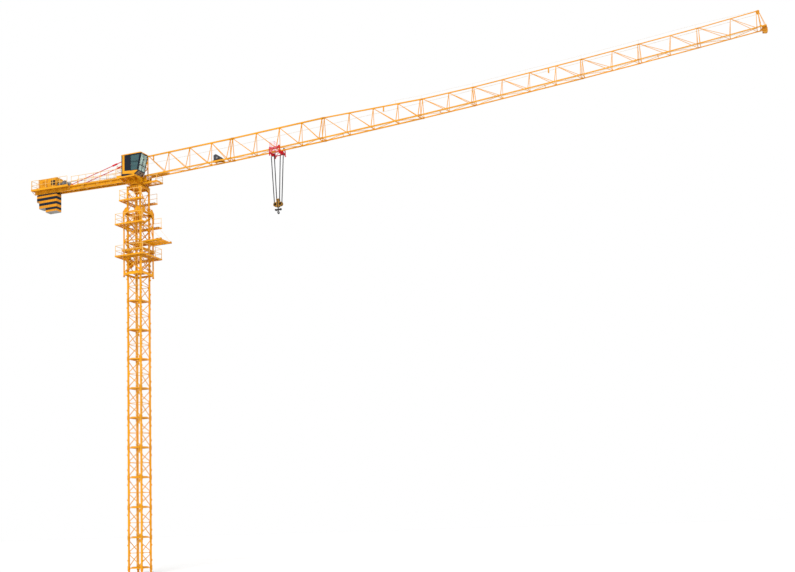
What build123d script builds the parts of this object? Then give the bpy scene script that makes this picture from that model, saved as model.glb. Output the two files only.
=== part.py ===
from build123d import *
import math
import os

# ---------------------------------------------------------------------------
# Flat-top tower crane with a climbing cage, scale model 1:10.
# The real lengths are in metres; M turns a real metre into model millimetres.
# Origin: centre of the foundation frame's underside, +Z up, jib along +X,
# cab on the -Y side of the mast.
# ---------------------------------------------------------------------------
SCALE = 0.1
M = 1000.0 * SCALE

# mast
BASE_H = 0.65              # first mast joint above the ground
SECTION_H = 3.0            # one mast section
LEG = 0.763                # leg centre line from the mast axis
LEG_W = 0.15               # leg tube, square
LEG_TOP = 38.45            # above the first joint
FOUND_OUT = 0.98           # half side of the foundation ring
FOUND_IN = 0.62
FOUND_H = 0.21
BAR = 0.065                # mast bracing bar width
BAR_T = 0.05               # and thickness

# climbing cage
CAGE = 1.04                # leg centre line
CAGE_W = 0.11
CAGE_Z0, CAGE_Z1 = 29.45, 36.20
CAGE_RING = 29.79

# platforms: height, half side, half side of the hole
PLAT_LOW = (31.57, 1.70, 1.12)
PLAT_UP = (34.90, 1.70, 1.12)
PLAT_TOP = (37.45, 1.40, 0.87)
PLAT_T = 0.10
RAIL_H = 1.05
RAIL_D = 0.035

# slewing parts
SUPPORT_Z0, SUPPORT_Z1 = 38.15, 38.98
RING_Z = 39.12             # the cut between fixed and slewing ring
TURN_Z0, TURN_Z1 = 39.26, 39.74
HEAD_TOP = 42.12

# cab
CAB_X0, CAB_X1 = -0.58, 1.81
CAB_Y0, CAB_Y1 = -2.05, -0.85
CAB_Z0, CAB_Z1 = 39.77, 41.88

# jib: section joints along X, heights of the top chord there, camber circle of the bottom chords
JOINTS = (1.26, 11.16, 21.33, 31.47, 36.52, 46.52, 51.51, 56.46, 61.26)
TOP_Z = (42.10, 42.34, 42.70, 42.72, 42.93, 43.60, 43.97, 44.37, 44.84)
PANELS = ((3.78, 6.28, 8.86), (14.0, 16.58, 19.03), (24.11, 26.6, 29.13), (34.18,),
          (39.3, 41.83, 44.25), (49.24,), (54.21,), (59.14,))
CAMBER_X, CAMBER_Z, CAMBER_R = -12.765, 843.55, 803.72
CHORD_Y = 0.42
CHORD = 0.115              # running edge of the bottom chords, outer face and top kept along the whole jib
BOTTOM_CHORDS = (0.115, 0.115, 0.110, 0.095, 0.090, 0.080, 0.076, 0.072)   # lighter towards the tip
TOP_CHORDS = (0.130, 0.125, 0.105, 0.090, 0.080, 0.074, 0.070, 0.066)
LACES = (0.060, 0.060, 0.054, 0.048, 0.044, 0.040, 0.038, 0.036)
LACE_SHIFT = (0.28, 0.18, 0.12, 0.11)   # how far a post's foot lies behind its head, by section

# counter-jib
CJ_SLOPE = 0.022
CJ_Z = 39.66
CJ_H = 0.36
CJ_Y = 0.42
CJ_END = -13.05
DECK_X0, DECK_X1 = -13.15, -8.30
DECK_Y = 0.90

# counterweights: slab pitch and the bottoms
CW_X0 = -12.77
CW_PITCH = 0.29
CW_T = 0.27
CW_Y = 0.41
CW_TOP = 39.86
CW_BOTTOMS = (39.09, 38.34, 38.34, 38.34, 37.86, 37.86, 37.86, 37.86, 37.86)

# trolley and hook
TROLLEY_X = 16.28
HOOK_X = 16.28
ROPE_D = 0.09

Z0 = BASE_H
os.makedirs("parts", exist_ok=True)
NODES = {}


def save(name, shape):
    solids = shape.solids()
    out = Compound(children=list(solids)) if len(solids) > 1 else solids[0]
    out.label = name
    NODES[name] = out
    export_step(out, os.path.join("parts", name + ".step"))


def box(x0, x1, y0, y1, z0, z1):
    """A box from real corners, heights counted from the first mast joint."""
    b = Box((x1 - x0) * M, (y1 - y0) * M, (z1 - z0) * M)
    return b.moved(Location(((x0 + x1) / 2 * M, (y0 + y1) / 2 * M, ((z0 + z1) / 2 + Z0) * M)))


def pt(p):
    return Vector(p[0] * M, p[1] * M, (p[2] + Z0) * M)


def bar(p, q, w, h=None, up=(0, 0, 1)):
    """A straight bar of rectangular section between two real points."""
    h = w if h is None else h
    a, b = pt(p), pt(q)
    d = b - a
    x = Vector(*up).cross(d)
    if x.length < 1e-6:
        x = Vector(1, 0, 0)
    pl = Plane(origin=a, x_dir=x, z_dir=d)
    return extrude(pl * Rectangle(w * M, h * M), amount=d.length)


def rod(p, q, d_):
    """A round rod between two real points."""
    a, b = pt(p), pt(q)
    pl = Plane(origin=a, z_dir=b - a)
    return extrude(pl * Circle(d_ * M / 2), amount=(b - a).length)


def cyl(c, r, length, axis):
    """A cylinder centred on a real point."""
    ax = {"x": Vector(1, 0, 0), "y": Vector(0, 1, 0), "z": Vector(0, 0, 1)}[axis]
    pl = Plane(origin=pt(c) - ax * (length * M / 2), z_dir=ax)
    return extrude(pl * Circle(r * M), amount=length * M)


def slab(x0, x1, y0, y1, lo, hi):
    """A prism across the crane whose underside and top follow two lines along X."""
    w = Wire.make_polygon([pt((x0, y0, lo(x0))), pt((x1, y0, lo(x1))), pt((x1, y0, hi(x1))), pt((x0, y0, hi(x0)))], close=True)
    return Solid.extrude(Face(w), Vector(0, (y1 - y0) * M, 0))


def fuse(parts):
    parts = list(parts)
    out = parts[0].fuse(*parts[1:]) if len(parts) > 1 else parts[0]
    return Part() + out if not hasattr(out, "solids") else out


def bars2d(segs):
    """The union of flat bars; each is (u0, v0, u1, v1, width) in real metres."""
    faces = []
    for u0, v0, u1, v1, w in segs:
        n = math.hypot(u1 - u0, v1 - v0)
        px, py = -(v1 - v0) / n * w / 2, (u1 - u0) / n * w / 2
        pts = [(u0 + px, v0 + py), (u1 + px, v1 + py), (u1 - px, v1 - py), (u0 - px, v0 - py)]
        faces.append(Face(Wire.make_polygon([Vector(a * M, b * M, 0) for a, b in pts], close=True)))
    out = faces[0].fuse(*faces[1:])
    return out


def panel(segs, plane, thick, clip=None):
    """A flat lattice: bars joined in their plane, then given a thickness centred on it."""
    flat = bars2d(segs)
    solids = []
    for f in flat.faces():
        s = Solid.extrude(f, Vector(0, 0, thick * M)).moved(Location((0, 0, -thick * M / 2)))
        solids.append(s)
    out = solids[0] if len(solids) == 1 else solids[0].fuse(*solids[1:])
    out = out.moved(plane.location)
    return out


# ------------------------------------------------------------------ foundation
ring = box(-FOUND_OUT, FOUND_OUT, -FOUND_OUT, FOUND_OUT, -BASE_H, -BASE_H + FOUND_H)
ring = ring - box(-FOUND_IN, FOUND_IN, -FOUND_IN, FOUND_IN, -BASE_H - 0.1, 0)
save("foundation_frame", ring)

# ------------------------------------------------------------------ mast
CORNERS = ((-1, -1), (1, -1), (1, 1), (-1, 1))
hw = LEG_W / 2
legs = [box(sx * LEG - hw, sx * LEG + hw, sy * LEG - hw, sy * LEG + hw, -BASE_H + FOUND_H, LEG_TOP)
        for sx, sy in CORNERS]
save("mast_legs", Compound(children=legs))

inner = LEG - hw


def mast_side(direction):
    """Bars of one side in (u, z). direction = +1: a diagonal climbs to +u from a joint."""
    segs = []
    a, b = (-inner, inner) if direction > 0 else (inner, -inner)
    for i in range(13):
        z = i * SECTION_H
        segs.append((-inner, z, inner, z, 0.085))
        if i < 12:
            segs.append((-inner, z + 1.5, inner, z + 1.5, 0.045))
            segs.append((a, z + 0.20, b, z + 1.34, BAR))
            segs.append((b, z + 1.66, a, z + 2.72, BAR))
    # crossed bars in the short bay above the cage
    segs.append((-inner, 36.50, inner, 38.40, BAR))
    segs.append((inner, 36.50, -inner, 38.40, BAR))
    # edge strips along the legs
    for s in (-1, 1):
        segs.append((s * (inner - 0.0125), -0.168, s * (inner - 0.0125), LEG_TOP, 0.025))
    return segs


def side_plane(name, offset):
    """The plane of a side: u along the side, v up."""
    o = {"cab": Plane(origin=(0, -offset * M, Z0 * M), x_dir=(1, 0, 0), z_dir=(0, -1, 0)),
         "jib": Plane(origin=(offset * M, 0, Z0 * M), x_dir=(0, 1, 0), z_dir=(1, 0, 0)),
         "far": Plane(origin=(0, offset * M, Z0 * M), x_dir=(-1, 0, 0), z_dir=(0, 1, 0)),
         "rear": Plane(origin=(-offset * M, 0, Z0 * M), x_dir=(0, -1, 0), z_dir=(-1, 0, 0))}
    return o[name]


def clipped(shape, x, y, z0, z1):
    return shape & box(-x, x, -y, y, z0, z1)


for name in ("cab", "jib", "far", "rear"):
    p = panel(mast_side(-1), side_plane(name, LEG), BAR_T)
    lim = inner
    keep = (box(-lim, lim, -1.2, 1.2, -0.3, LEG_TOP) if name in ("cab", "far")
            else box(-1.2, 1.2, -lim, lim, -0.3, LEG_TOP))
    save("mast_bracing_%s_side" % name, p & keep)

# rest platforms: a triangular grating at each joint, hung under the beam of the plan diagonal
rest = []
REST_HATCH = (-0.66, -0.10, 0.06, 0.60)
e_ = LEG - BAR_T / 2
for k in range(12):
    zk = k * SECTION_H
    tri = [(-e_, -0.63), (-e_, 0.63), (-0.63, e_), (0.63, e_), (0.60, 0.60), (-0.60, -0.60)]
    w = Wire.make_polygon([pt((x, y, zk)) for x, y in tri], close=True)
    plate_ = Solid.extrude(Face(w), Vector(0, 0, 0.04 * M))
    plate_ = plate_ - box(*REST_HATCH, zk - 0.1, zk + 0.1)
    rest.append(fuse([plate_, bar((-0.55, -0.55, zk + 0.10), (0.55, 0.55, zk + 0.10), 0.13, 0.122)]))
save("mast_rest_platforms", Compound(children=[q for r_ in rest for q in r_.solids()]))

LAD_X, LAD_Y0, LAD_Y1 = -0.50, 0.15, 0.50
lad = [box(LAD_X - 0.02, LAD_X + 0.02, y - 0.02, y + 0.02, 0.1, 38.0) for y in (LAD_Y0, LAD_Y1)]
lad += [box(LAD_X - 0.015, LAD_X + 0.015, LAD_Y0, LAD_Y1, z - 0.015, z + 0.015) for z in [0.5 + 1.5 * k for k in range(25)]]
lad += [box(REST_HATCH[0], LAD_X, LAD_Y1 - 0.02, LAD_Y1 + 0.02, 3 * k, 3 * k + 0.04) for k in range(1, 12)]
save("mast_ladder", fuse(lad))

# ------------------------------------------------------------------ climbing cage
cw = CAGE_W / 2
save("cage_legs", Compound(children=[
    box(sx * CAGE - cw, sx * CAGE + cw, sy * CAGE - cw, sy * CAGE + cw, CAGE_Z0, CAGE_Z1)
    for sx, sy in CORNERS]))
ci = CAGE - cw


def cage_side(kind):
    zs = [29.95, 31.45, 33.2, 34.75, 36.1]
    segs = []
    for i, z in enumerate(zs[1:]):
        segs.append((-ci, z, ci, z, 0.08))
    for i in range(4):
        a, b = zs[i], zs[i + 1]
        if kind == "jib" and i in (1, 2):
            # the side where new sections come in stays open between its knee braces
            if i == 1:
                segs.append((-ci, a + 0.9, -ci + 0.45, a + 0.04, 0.06))
                segs.append((ci, a + 0.9, ci - 0.45, a + 0.04, 0.06))
            else:
                segs.append((-ci, b - 0.9, -ci + 0.45, b - 0.04, 0.06))
                segs.append((ci, b - 0.9, ci - 0.45, b - 0.04, 0.06))
        else:
            segs.append((-ci, a + 0.05, ci, b - 0.05, 0.06))
            segs.append((-ci, b - 0.05, ci, a + 0.05, 0.06))
    if kind == "jib":
        segs = [s for s in segs if not (s[1] == s[3] == 33.2)]
    for s in (-1, 1):
        segs.append((s * (ci - 0.0125), 29.88, s * (ci - 0.0125), 36.14, 0.025))
    return segs


cage = []
for name in ("cab", "jib", "far", "rear"):
    p = panel(cage_side(name), side_plane(name, CAGE), 0.05)
    keep = (box(-ci, ci, -1.2, 1.2, 29.88, 36.14) if name in ("cab", "far")
            else box(-1.2, 1.2, -ci, ci, 29.88, 36.14))
    cage.append(p & keep)
save("cage_bracing", Compound(children=[s for c in cage for s in c.solids()]))

# bottom ring: four channels between the cage legs
rb = []
for q in (-1, 1):
    y0, y1 = sorted((q * (CAGE + cw), q * (CAGE - 0.02)))
    rb.append(box(-ci, ci, y0, y1, 29.66, 29.88))
    rb.append(box(y0, y1, -ci, ci, 29.66, 29.88))
save("cage_bottom_ring", Compound(children=rb))

# middle ring, outside the legs; the climbing cylinder hangs on its rear side
r0, r1 = CAGE + cw, CAGE + cw + 0.07
save("cage_mid_ring", box(-r1, r1, -r1, r1, 32.08, 32.32) - box(-r0, r0, -r0, r0, 31, 33))

# top ring on the cage legs, with gussets outside the legs that flare in to the mast legs
ring_t = box(-CAGE - cw, CAGE + cw, -CAGE - cw, CAGE + cw, CAGE_Z1, CAGE_Z1 + 0.10) - box(-0.90, 0.90, -0.90, 0.90, 36, 37)
guss = []
for sx, sy in CORNERS:
    for ang in (0, 1):
        # a plate on each of the two faces at this corner
        pts = [(1.09, 35.30), (1.09, 36.28), (0.78, 36.64), (0.62, 36.64), (0.38, 36.34), (0.42, 36.20), (0.70, 36.06), (0.90, 35.78), (0.99, 35.30)]
        gp = CAGE + cw
        if ang == 0:
            y0, y1 = sorted((sy * gp, sy * (gp + 0.03)))
            w = Wire.make_polygon([pt((sx * u, y0, v)) for u, v in pts], close=True)
            guss.append(Solid.extrude(Face(w), Vector(0, (y1 - y0) * M, 0)))
        else:
            x0, x1 = sorted((sx * gp, sx * (gp + 0.03)))
            w = Wire.make_polygon([pt((x0, sy * u, v)) for u, v in pts], close=True)
            guss.append(Solid.extrude(Face(w), Vector((x1 - x0) * M, 0, 0)))
save("cage_top_ring", fuse([ring_t] + guss))
g = LEG + hw


# ------------------------------------------------------------------ platforms and handrails
def platform(z, half, hole, t=PLAT_T):
    edge = box(-half, half, -half, half, z - t, z) - box(-half + 0.05, half - 0.05, -half + 0.05, half - 0.05, z - 1, z + 1)
    deck = box(-half, half, -half, half, z - 0.04, z) - box(-hole, hole, -hole, hole, z - 1, z + 1)
    parts = [edge, deck]
    for s in (-1, 1):
        for u in (-hole - 0.04, hole):
            if s < 0:
                parts.append(box(u, u + 0.04, -half + 0.02, half - 0.02, z - t, z - 0.02))
            else:
                parts.append(box(-half + 0.02, half - 0.02, u, u + 0.04, z - t, z - 0.02))
    return fuse(parts)


def open_front(shape, z, half, hole):
    """A platform left open on the jib's side, between its two arms."""
    return shape - box(hole - 0.01, half + 0.1, -hole, hole, z - 1, z + 1)


slot = box(-1.34, -1.0, 0.06, 0.34, 31, 32)
save("cage_lower_platform", platform(*PLAT_LOW) - slot)
save("cage_upper_platform", open_front(platform(*PLAT_UP), *PLAT_UP))
save("mast_top_platform", open_front(platform(*PLAT_TOP), *PLAT_TOP))


def rail_flat(z, half, side):
    """One straight handrail panel: posts, a top rail and a knee rail."""
    e = half - 0.03
    r = RAIL_D
    n = e - 0.04
    us = (-n, -n / 3, n / 3, n)
    parts = []

    def b_(u0, u1, z0, z1):
        v0, v1 = sorted((e - r / 2, e + r / 2))
        if side == "cab":
            return box(u0, u1, -v1, -v0, z0, z1)
        if side == "far":
            return box(u0, u1, v0, v1, z0, z1)
        if side == "rear":
            return box(-v1, -v0, u0, u1, z0, z1)
        return box(v0, v1, u0, u1, z0, z1)
    for zz in (z + RAIL_H, z + 0.55):
        parts.append(b_(-n - r / 2, n + r / 2, zz - r / 2, zz + r / 2))
    for u in us:
        parts.append(b_(u - r / 2, u + r / 2, z, z + RAIL_H))
    return fuse(parts)


rails_ = [rail_flat(PLAT_LOW[0], PLAT_LOW[1], q) for q in ("cab", "far", "rear", "jib")]
rails_ += [rail_flat(PLAT_UP[0], PLAT_UP[1], q) for q in ("cab", "far", "rear")]
rails_ += [rail_flat(PLAT_TOP[0], PLAT_TOP[1], q) for q in ("cab", "far", "rear")]
save("platform_rails", Compound(children=[q for r_ in rails_ for q in r_.solids()]))

# ------------------------------------------------------------------ introduction beams, climbing cylinder
IB_Z = 32.93
IB_Y = 0.87
ib = [box(CAGE + cw, CAGE + cw + 0.08, -1.05, 1.05, IB_Z - 0.12, IB_Z + 0.02)]
ib += [box(CAGE + cw + 0.04, 3.35, q * IB_Y - 0.05, q * IB_Y + 0.05, IB_Z - 0.08, IB_Z + 0.08) for q in (-1, 1)]
ib += [box(x, x + 0.07, -IB_Y, IB_Y, IB_Z - 0.05, IB_Z + 0.03) for x in (1.3, 1.95, 2.6, 3.25)]
ib += [box(1.14, 3.3, y - 0.03, y + 0.03, IB_Z - 0.03, IB_Z + 0.06) for y in (-0.4, 0.0, 0.4)]
save("introduction_beams", fuse(ib))

CYL_X, CYL_Y = -1.17, 0.20
cylr = [cyl((CYL_X, CYL_Y, 31.78), 0.085, 0.48, "z"), cyl((CYL_X, CYL_Y, 31.43), 0.05, 0.30, "z"),
        box(CYL_X - 0.05, CYL_X + 0.08, CYL_Y - 0.08, CYL_Y + 0.08, 32.0, 32.078)]
save("climbing_cylinder", fuse(cylr))
save("climbing_traverse", fuse([box(-1.26, -1.08, CYL_Y - 0.42, CYL_Y + 0.42, 30.86, 31.16),
                                box(-1.24, -1.10, CYL_Y - 0.14, CYL_Y + 0.14, 31.1, 31.278),
                                box(-1.24, -1.10, CYL_Y - 0.24, CYL_Y + 0.24, 30.70, 30.9)]))

# ------------------------------------------------------------------ slewing support and ring
su = g
BAND = 38.74
sup = box(-su, su, -su, su, BAND, SUPPORT_Z1)
sup = sup - box(-su + 0.06, su - 0.06, -su + 0.06, su - 0.06, BAND - 0.1, SUPPORT_Z1 - 0.05)
# corner posts on the legs, and small haunches between posts and band
hau = []
li = LEG - hw
for q in (-1, 1):
    for u in (-1, 1):
        hau.append(box(min(q * li, q * su), max(q * li, q * su), min(u * li, u * su), max(u * li, u * su), LEG_TOP, BAND + 0.02))
        pts = [(u * (li + 0.01), 38.50), (u * (li + 0.01), BAND + 0.02), (u * 0.34, BAND + 0.02), (u * 0.46, 38.66)]
        y0 = min(q * su, q * (su - 0.045))
        w = Wire.make_polygon([pt((a_, y0, c_)) for a_, c_ in pts], close=True)
        hau.append(Solid.extrude(Face(w), Vector(0, 0.045 * M, 0)))
        w = Wire.make_polygon([pt((y0, a_, c_)) for a_, c_ in pts], close=True)
        hau.append(Solid.extrude(Face(w), Vector(0.045 * M, 0, 0)))
sup = fuse([sup] + hau)
for q in (-1, 1):
    # round hand holes beside the legs
    sup = sup - cyl((q * 0.50, 0, 38.84), 0.055, 3, "y")
    sup = sup - cyl((0, q * 0.50, 38.84), 0.055, 3, "x")
save("slewing_support", sup)
save("slewing_ring_lower", cyl((0, 0, (SUPPORT_Z1 + RING_Z - 0.01) / 2), 0.80, RING_Z - 0.01 - SUPPORT_Z1, "z")
     - cyl((0, 0, 39), 0.66, 2, "z"))

# ------------------------------------------------------------------ turntable
tt = [cyl((0, 0, (RING_Z + 0.01 + TURN_Z0) / 2), 0.84, TURN_Z0 - RING_Z - 0.01, "z"),
      box(-0.95, 0.95, -0.85, 0.85, TURN_Z0, TURN_Z1)]
for s in (-1, 1):
    tt.append(box(0.9, 1.34, s * 0.42 - 0.05, s * 0.42 + 0.05, 39.36, TURN_Z1))
tt = fuse(tt) - box(-0.86, 0.86, -0.76, 0.76, TURN_Z0 + 0.05, TURN_Z1 - 0.05)
save("turntable", tt)

# ------------------------------------------------------------------ tower head
HX0, HX1, HY = -0.55, 0.90, 0.42
th = []
for s in (-1, 1):
    th.append(bar((HX0, s * HY, TURN_Z1), (HX0, s * HY, HEAD_TOP), 0.12))
    th.append(bar((HX1, s * HY, TURN_Z1), (HX1, s * HY, HEAD_TOP), 0.09))
    th.append(bar((HX0, s * HY, 39.95), (HX1, s * HY, 41.0), 0.07))
    th.append(bar((HX1, s * HY, 41.0), (HX0, s * HY, 42.0), 0.07))
    th.append(box(HX0 - 0.06, HX1 + 0.06, s * HY - 0.06, s * HY + 0.06, HEAD_TOP - 0.12, HEAD_TOP + 0.03))
for x in (HX0, HX1):
    th.append(box(x - 0.06, x + 0.06, -HY, HY, HEAD_TOP - 0.12, HEAD_TOP + 0.03))
    th.append(bar((x, -HY, 39.95), (x, HY, 41.9), 0.06))
# lug for the jib's top chord, ears for the ties
th.append(box(HX1, 1.16, -0.06, 0.06, HEAD_TOP - 0.12, HEAD_TOP + 0.08))
for s in (-1, 1):
    th.append(box(HX0 - 0.18, HX0, s * HY - 0.04, s * HY + 0.04, HEAD_TOP - 0.08, HEAD_TOP + 0.06))
save("tower_head", fuse(th))

# ------------------------------------------------------------------ cab platform and cab
CP_Z = CAB_Z0 - 0.0
cp = [box(-1.20, 0.98, -2.07, -0.85, CP_Z - 0.10, CP_Z)]
for x in (-1.1, -0.4, 0.3, 0.9):
    w = Wire.make_polygon([pt((x, -0.85, CP_Z - 0.1)), pt((x, -2.0, CP_Z - 0.1)), pt((x, -2.0, CP_Z - 0.16)),
                           pt((x, -0.85, 39.36))], close=True)
    cp.append(Solid.extrude(Face(w), Vector(0.06 * M, 0, 0)))
save("cab_platform", fuse(cp))

# side outline of the cab in (x, z)
cab_out = [(CAB_X0, CAB_Z0), (1.02, CAB_Z0), (1.40, 39.99), (CAB_X1 - 0.02, CAB_Z1 - 0.07), (CAB_X0, CAB_Z1 - 0.07)]


def prism(outline, y0, y1):
    w = Wire.make_polygon([pt((x, y0, z)) for x, z in outline], close=True)
    return Solid.extrude(Face(w), Vector(0, (y1 - y0) * M, 0))


def inset(outline, d):
    cx = sum(p_[0] for p_ in outline) / len(outline)
    cz = sum(p_[1] for p_ in outline) / len(outline)
    return [(x + (d if x < cx else -d), z + (d if z < cz else -d)) for x, z in outline]


body = prism(cab_out, CAB_Y0, CAB_Y1) - prism(inset(cab_out, 0.06), CAB_Y0 + 0.06, CAB_Y1 - 0.06)
# side windows, cut through both side walls
win = [(0.53, 40.10), (1.33, 40.10), (1.66, 41.72), (0.53, 41.72)]
body = body - prism(win, CAB_Y0 - 0.1, CAB_Y0 + 0.2) - prism(win, CAB_Y1 - 0.2, CAB_Y1 + 0.1)
# front window
body = body - prism([(1.20, 40.10), (1.60, 40.10), (2.0, 41.72), (1.50, 41.72)], CAB_Y0 + 0.07, CAB_Y1 - 0.07)
save("cab_body", body)
gl = [prism(win, CAB_Y0 + 0.015, CAB_Y0 + 0.03), prism(win, CAB_Y1 - 0.03, CAB_Y1 - 0.015)]
fx = lambda z: 1.40 + (z - 39.99) * (CAB_X1 - 0.02 - 1.40) / (CAB_Z1 - 0.07 - 39.99)
gl.append(prism([(fx(40.10) - 0.035, 40.10), (fx(40.10) - 0.02, 40.10), (fx(41.72) - 0.02, 41.72), (fx(41.72) - 0.035, 41.72)],
                CAB_Y0 + 0.07, CAB_Y1 - 0.07))
save("cab_glass", Compound(children=gl))
save("cab_roof", prism([(CAB_X0 - 0.03, CAB_Z1 - 0.07), (CAB_X1 + 0.03, CAB_Z1 - 0.07), (CAB_X1 + 0.03, CAB_Z1 - 0.01),
                        (CAB_X1 - 0.1, CAB_Z1 + 0.02), (CAB_X0 + 0.1, CAB_Z1 + 0.02), (CAB_X0 - 0.03, CAB_Z1 - 0.01)],
                       CAB_Y0 - 0.03, CAB_Y1 + 0.03))

# ------------------------------------------------------------------ service platform below the jib root
SP_Z = 39.09
sp = [box(0.95, 2.65, q * 0.50 - 0.04, q * 0.50 + 0.04, SP_Z, SP_Z + 0.12) for q in (-1, 1)]
sp += [box(0.952, 1.01, q * 0.50 - 0.04, q * 0.50 + 0.04, SP_Z, 39.34) for q in (-1, 1)]
sp += [box(x, x + 0.06, -0.5, 0.5, SP_Z + 0.01, SP_Z + 0.09) for x in (0.96, 1.5, 2.05, 2.59)]
sp += [box(1.5, 2.62, -0.5, 0.5, SP_Z + 0.06, SP_Z + 0.09)]
for q in (-1, 1):
    for x in (1.75, 2.62):
        sp.append(box(x - 0.0175, x + 0.0175, q * 0.525 - 0.0175, q * 0.525 + 0.0175, SP_Z + 0.08, SP_Z + 0.76))
    sp.append(box(1.75 - 0.0175, 2.6375, q * 0.525 - 0.0175, q * 0.525 + 0.0175, SP_Z + 0.72, SP_Z + 0.76))
sp.append(box(2.6025, 2.6375, -0.525, 0.525, SP_Z + 0.72, SP_Z + 0.76))
save("service_platform", fuse(sp))


# ------------------------------------------------------------------ jib
def zb(x):
    return CAMBER_Z - math.sqrt(CAMBER_R ** 2 - (x - CAMBER_X) ** 2)


def lerp(a, b, t):
    return a + (b - a) * t


TOPZ = dict(zip(JOINTS, TOP_Z))
for i in range(8):
    xa, xb = JOINTS[i], JOINTS[i + 1]
    ga = 0.012
    x0, x1 = xa + ga, xb - ga
    zb0, zb1 = zb(xa), zb(xb)
    zt0, zt1 = TOP_Z[i], TOP_Z[i + 1]
    B = lambda x: lerp(zb0, zb1, (x - xa) / (xb - xa))
    T = lambda x: lerp(zt0, zt1, (x - xa) / (xb - xa))
    tc, bc, lace = TOP_CHORDS[i], BOTTOM_CHORDS[i], LACES[i]
    e = (CHORD - bc) / 2
    parts = [bar((x0, 0, T(x0)), (x1, 0, T(x1)), tc)]
    for s in (-1, 1):
        parts.append(bar((x0, s * (CHORD_Y + e), B(x0) + e), (x1, s * (CHORD_Y + e), B(x1) + e), bc))
    tops = [xa + (0.13 if i < 4 else 0.08)] + list(PANELS[i]) + [xb - (0.12 if i < 3 else 0.06)]
    off = LACE_SHIFT[min(i, 3)]
    feet = [max(x - off, xa + 0.06) for x in tops]
    if i > 3:
        feet[0] = xa + 0.15
    if i > 2:
        feet[-1] = xb - 0.07
    # side lattices: posts down from each top node, diagonals down towards the tip
    yb = CHORD_Y - 0.025
    for s in (-1, 1):
        for k, x in enumerate(tops):
            if i or k:
                parts.append(bar((x, 0, T(x)), (feet[k], s * yb, B(feet[k])), lace))
            if k + 1 < len(tops):
                xn = feet[k + 1]
                parts.append(bar((x - (0.0 if i or k else 0.07), 0, T(x)), (xn, s * yb, B(xn)), lace))
    # bottom plane: cross bars and single diagonals
    for k, x in enumerate(feet):
        parts.append(bar((x, -yb, B(x)), (x, yb, B(x)), 0.05 if i < 3 else 0.04))
        if k + 1 < len(feet):
            xn = feet[k + 1]
            s = -1 if (k + i) % 2 else 1
            parts.append(bar((x, s * yb, B(x)), (xn, -s * yb, B(xn)), 0.04 if i < 3 else 0.032))
    save("jib_section_%d" % (i + 1), fuse(parts))

# tip frame: swept end with the rope anchor and the trolley rope's sheave
zt, zq = TOP_Z[-1], zb(JOINTS[-1])
tip = [box(61.27, 61.42, -0.05, 0.05, zt - 0.28, zt + 0.06)]
for s in (-1, 1):
    tip.append(bar((61.27, s * (CHORD_Y + 0.0175), zq + 0.0175), (61.97, s * (CHORD_Y + 0.0175), zq + 0.0875), 0.08))
    tip.append(bar((61.35, 0, zt - 0.1), (61.50, s * (CHORD_Y - 0.02), zq + 0.02), 0.065))
    tip.append(rod((61.39, 0, zt - 0.02), (61.92, s * CHORD_Y, zq + 0.05), 0.036))
    tip.append(box(61.70, 61.98, s * 0.2 - 0.03, s * 0.2 + 0.03, zq - 0.32, zq + 0.1))
tip.append(box(61.86, 61.97, -CHORD_Y, CHORD_Y, zq + 0.01, zq + 0.12))
tip.append(box(61.45, 61.53, -CHORD_Y, CHORD_Y, zq - 0.01, zq + 0.07))
tip.append(cyl((61.82, 0, zq - 0.12), 0.2, 0.5, "y"))
save("jib_tip", fuse(tip))

# trolley winch on the bottom chords of the first section
def on_slope(shape, x, z, deg):
    """Turned about a point of the jib so that it follows the chord's slope."""
    c_ = pt((x, 0, z))
    return shape.moved(Location((-c_.X, -c_.Y, -c_.Z))).moved(Location((0, 0, 0), (0, -deg, 0))).moved(Location((c_.X, c_.Y, c_.Z)))


za, zc = zb(JOINTS[0]), zb(JOINTS[1])
wz = za + (zc - za) * (9.9 - JOINTS[0]) / (JOINTS[1] - JOINTS[0])
wdeg = math.degrees(math.atan2(zc - za, JOINTS[1] - JOINTS[0]))
w0 = wz + CHORD / 2 + 0.002
tw = [box(9.16, 9.26, -0.385, 0.385, w0, w0 + 0.10), box(10.08, 10.18, -0.385, 0.385, w0, w0 + 0.10),
      box(9.16, 10.18, -0.28, -0.20, w0 + 0.02, w0 + 0.12), box(9.16, 10.18, 0.20, 0.28, w0 + 0.02, w0 + 0.12)]
hood = [(9.20, w0 + 0.06), (9.20, w0 + 0.68), (9.46, w0 + 0.76), (10.14, w0 + 0.26), (10.14, w0 + 0.06)]
w = Wire.make_polygon([pt((a_, -0.22, c_)) for a_, c_ in hood], close=True)
tw.append(Solid.extrude(Face(w), Vector(0, 0.44 * M, 0)))
tw.append(cyl((9.62, 0, w0 + 0.34), 0.20, 0.58, "y"))
save("trolley_winch", on_slope(fuse(tw), 9.9, wz, wdeg))


# ------------------------------------------------------------------ counter-jib
def cz(x):
    return CJ_Z + CJ_SLOPE * (-x)


def line(off):
    return lambda x: cz(x) + off


FL = 0.12
beams = []
for s in (-1, 1):
    y0, y1 = sorted((s * CJ_Y, s * (CJ_Y - FL)))
    ym = (y0 + y1) / 2
    beams.append(slab(CJ_END, -0.99, y0, y1, line(0), line(0.03)))
    beams.append(slab(CJ_END, -0.99, y0, y1, line(CJ_H - 0.03), line(CJ_H)))
    beams.append(slab(CJ_END, -0.99, ym - 0.015, ym + 0.015, line(0.02), line(CJ_H - 0.02)))
for x in (-1.3, -2.9, -4.7, -6.5, -8.3, -9.9, -13.0):
    beams.append(slab(x - 0.05, x + 0.05, -CJ_Y + FL / 2, CJ_Y - FL / 2, line(0.08), line(CJ_H - 0.06)))
beams.append(box(-1.04, -0.955, -0.46, 0.46, 39.45, 40.05))
save("counter_jib_beams", fuse(beams))

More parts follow.
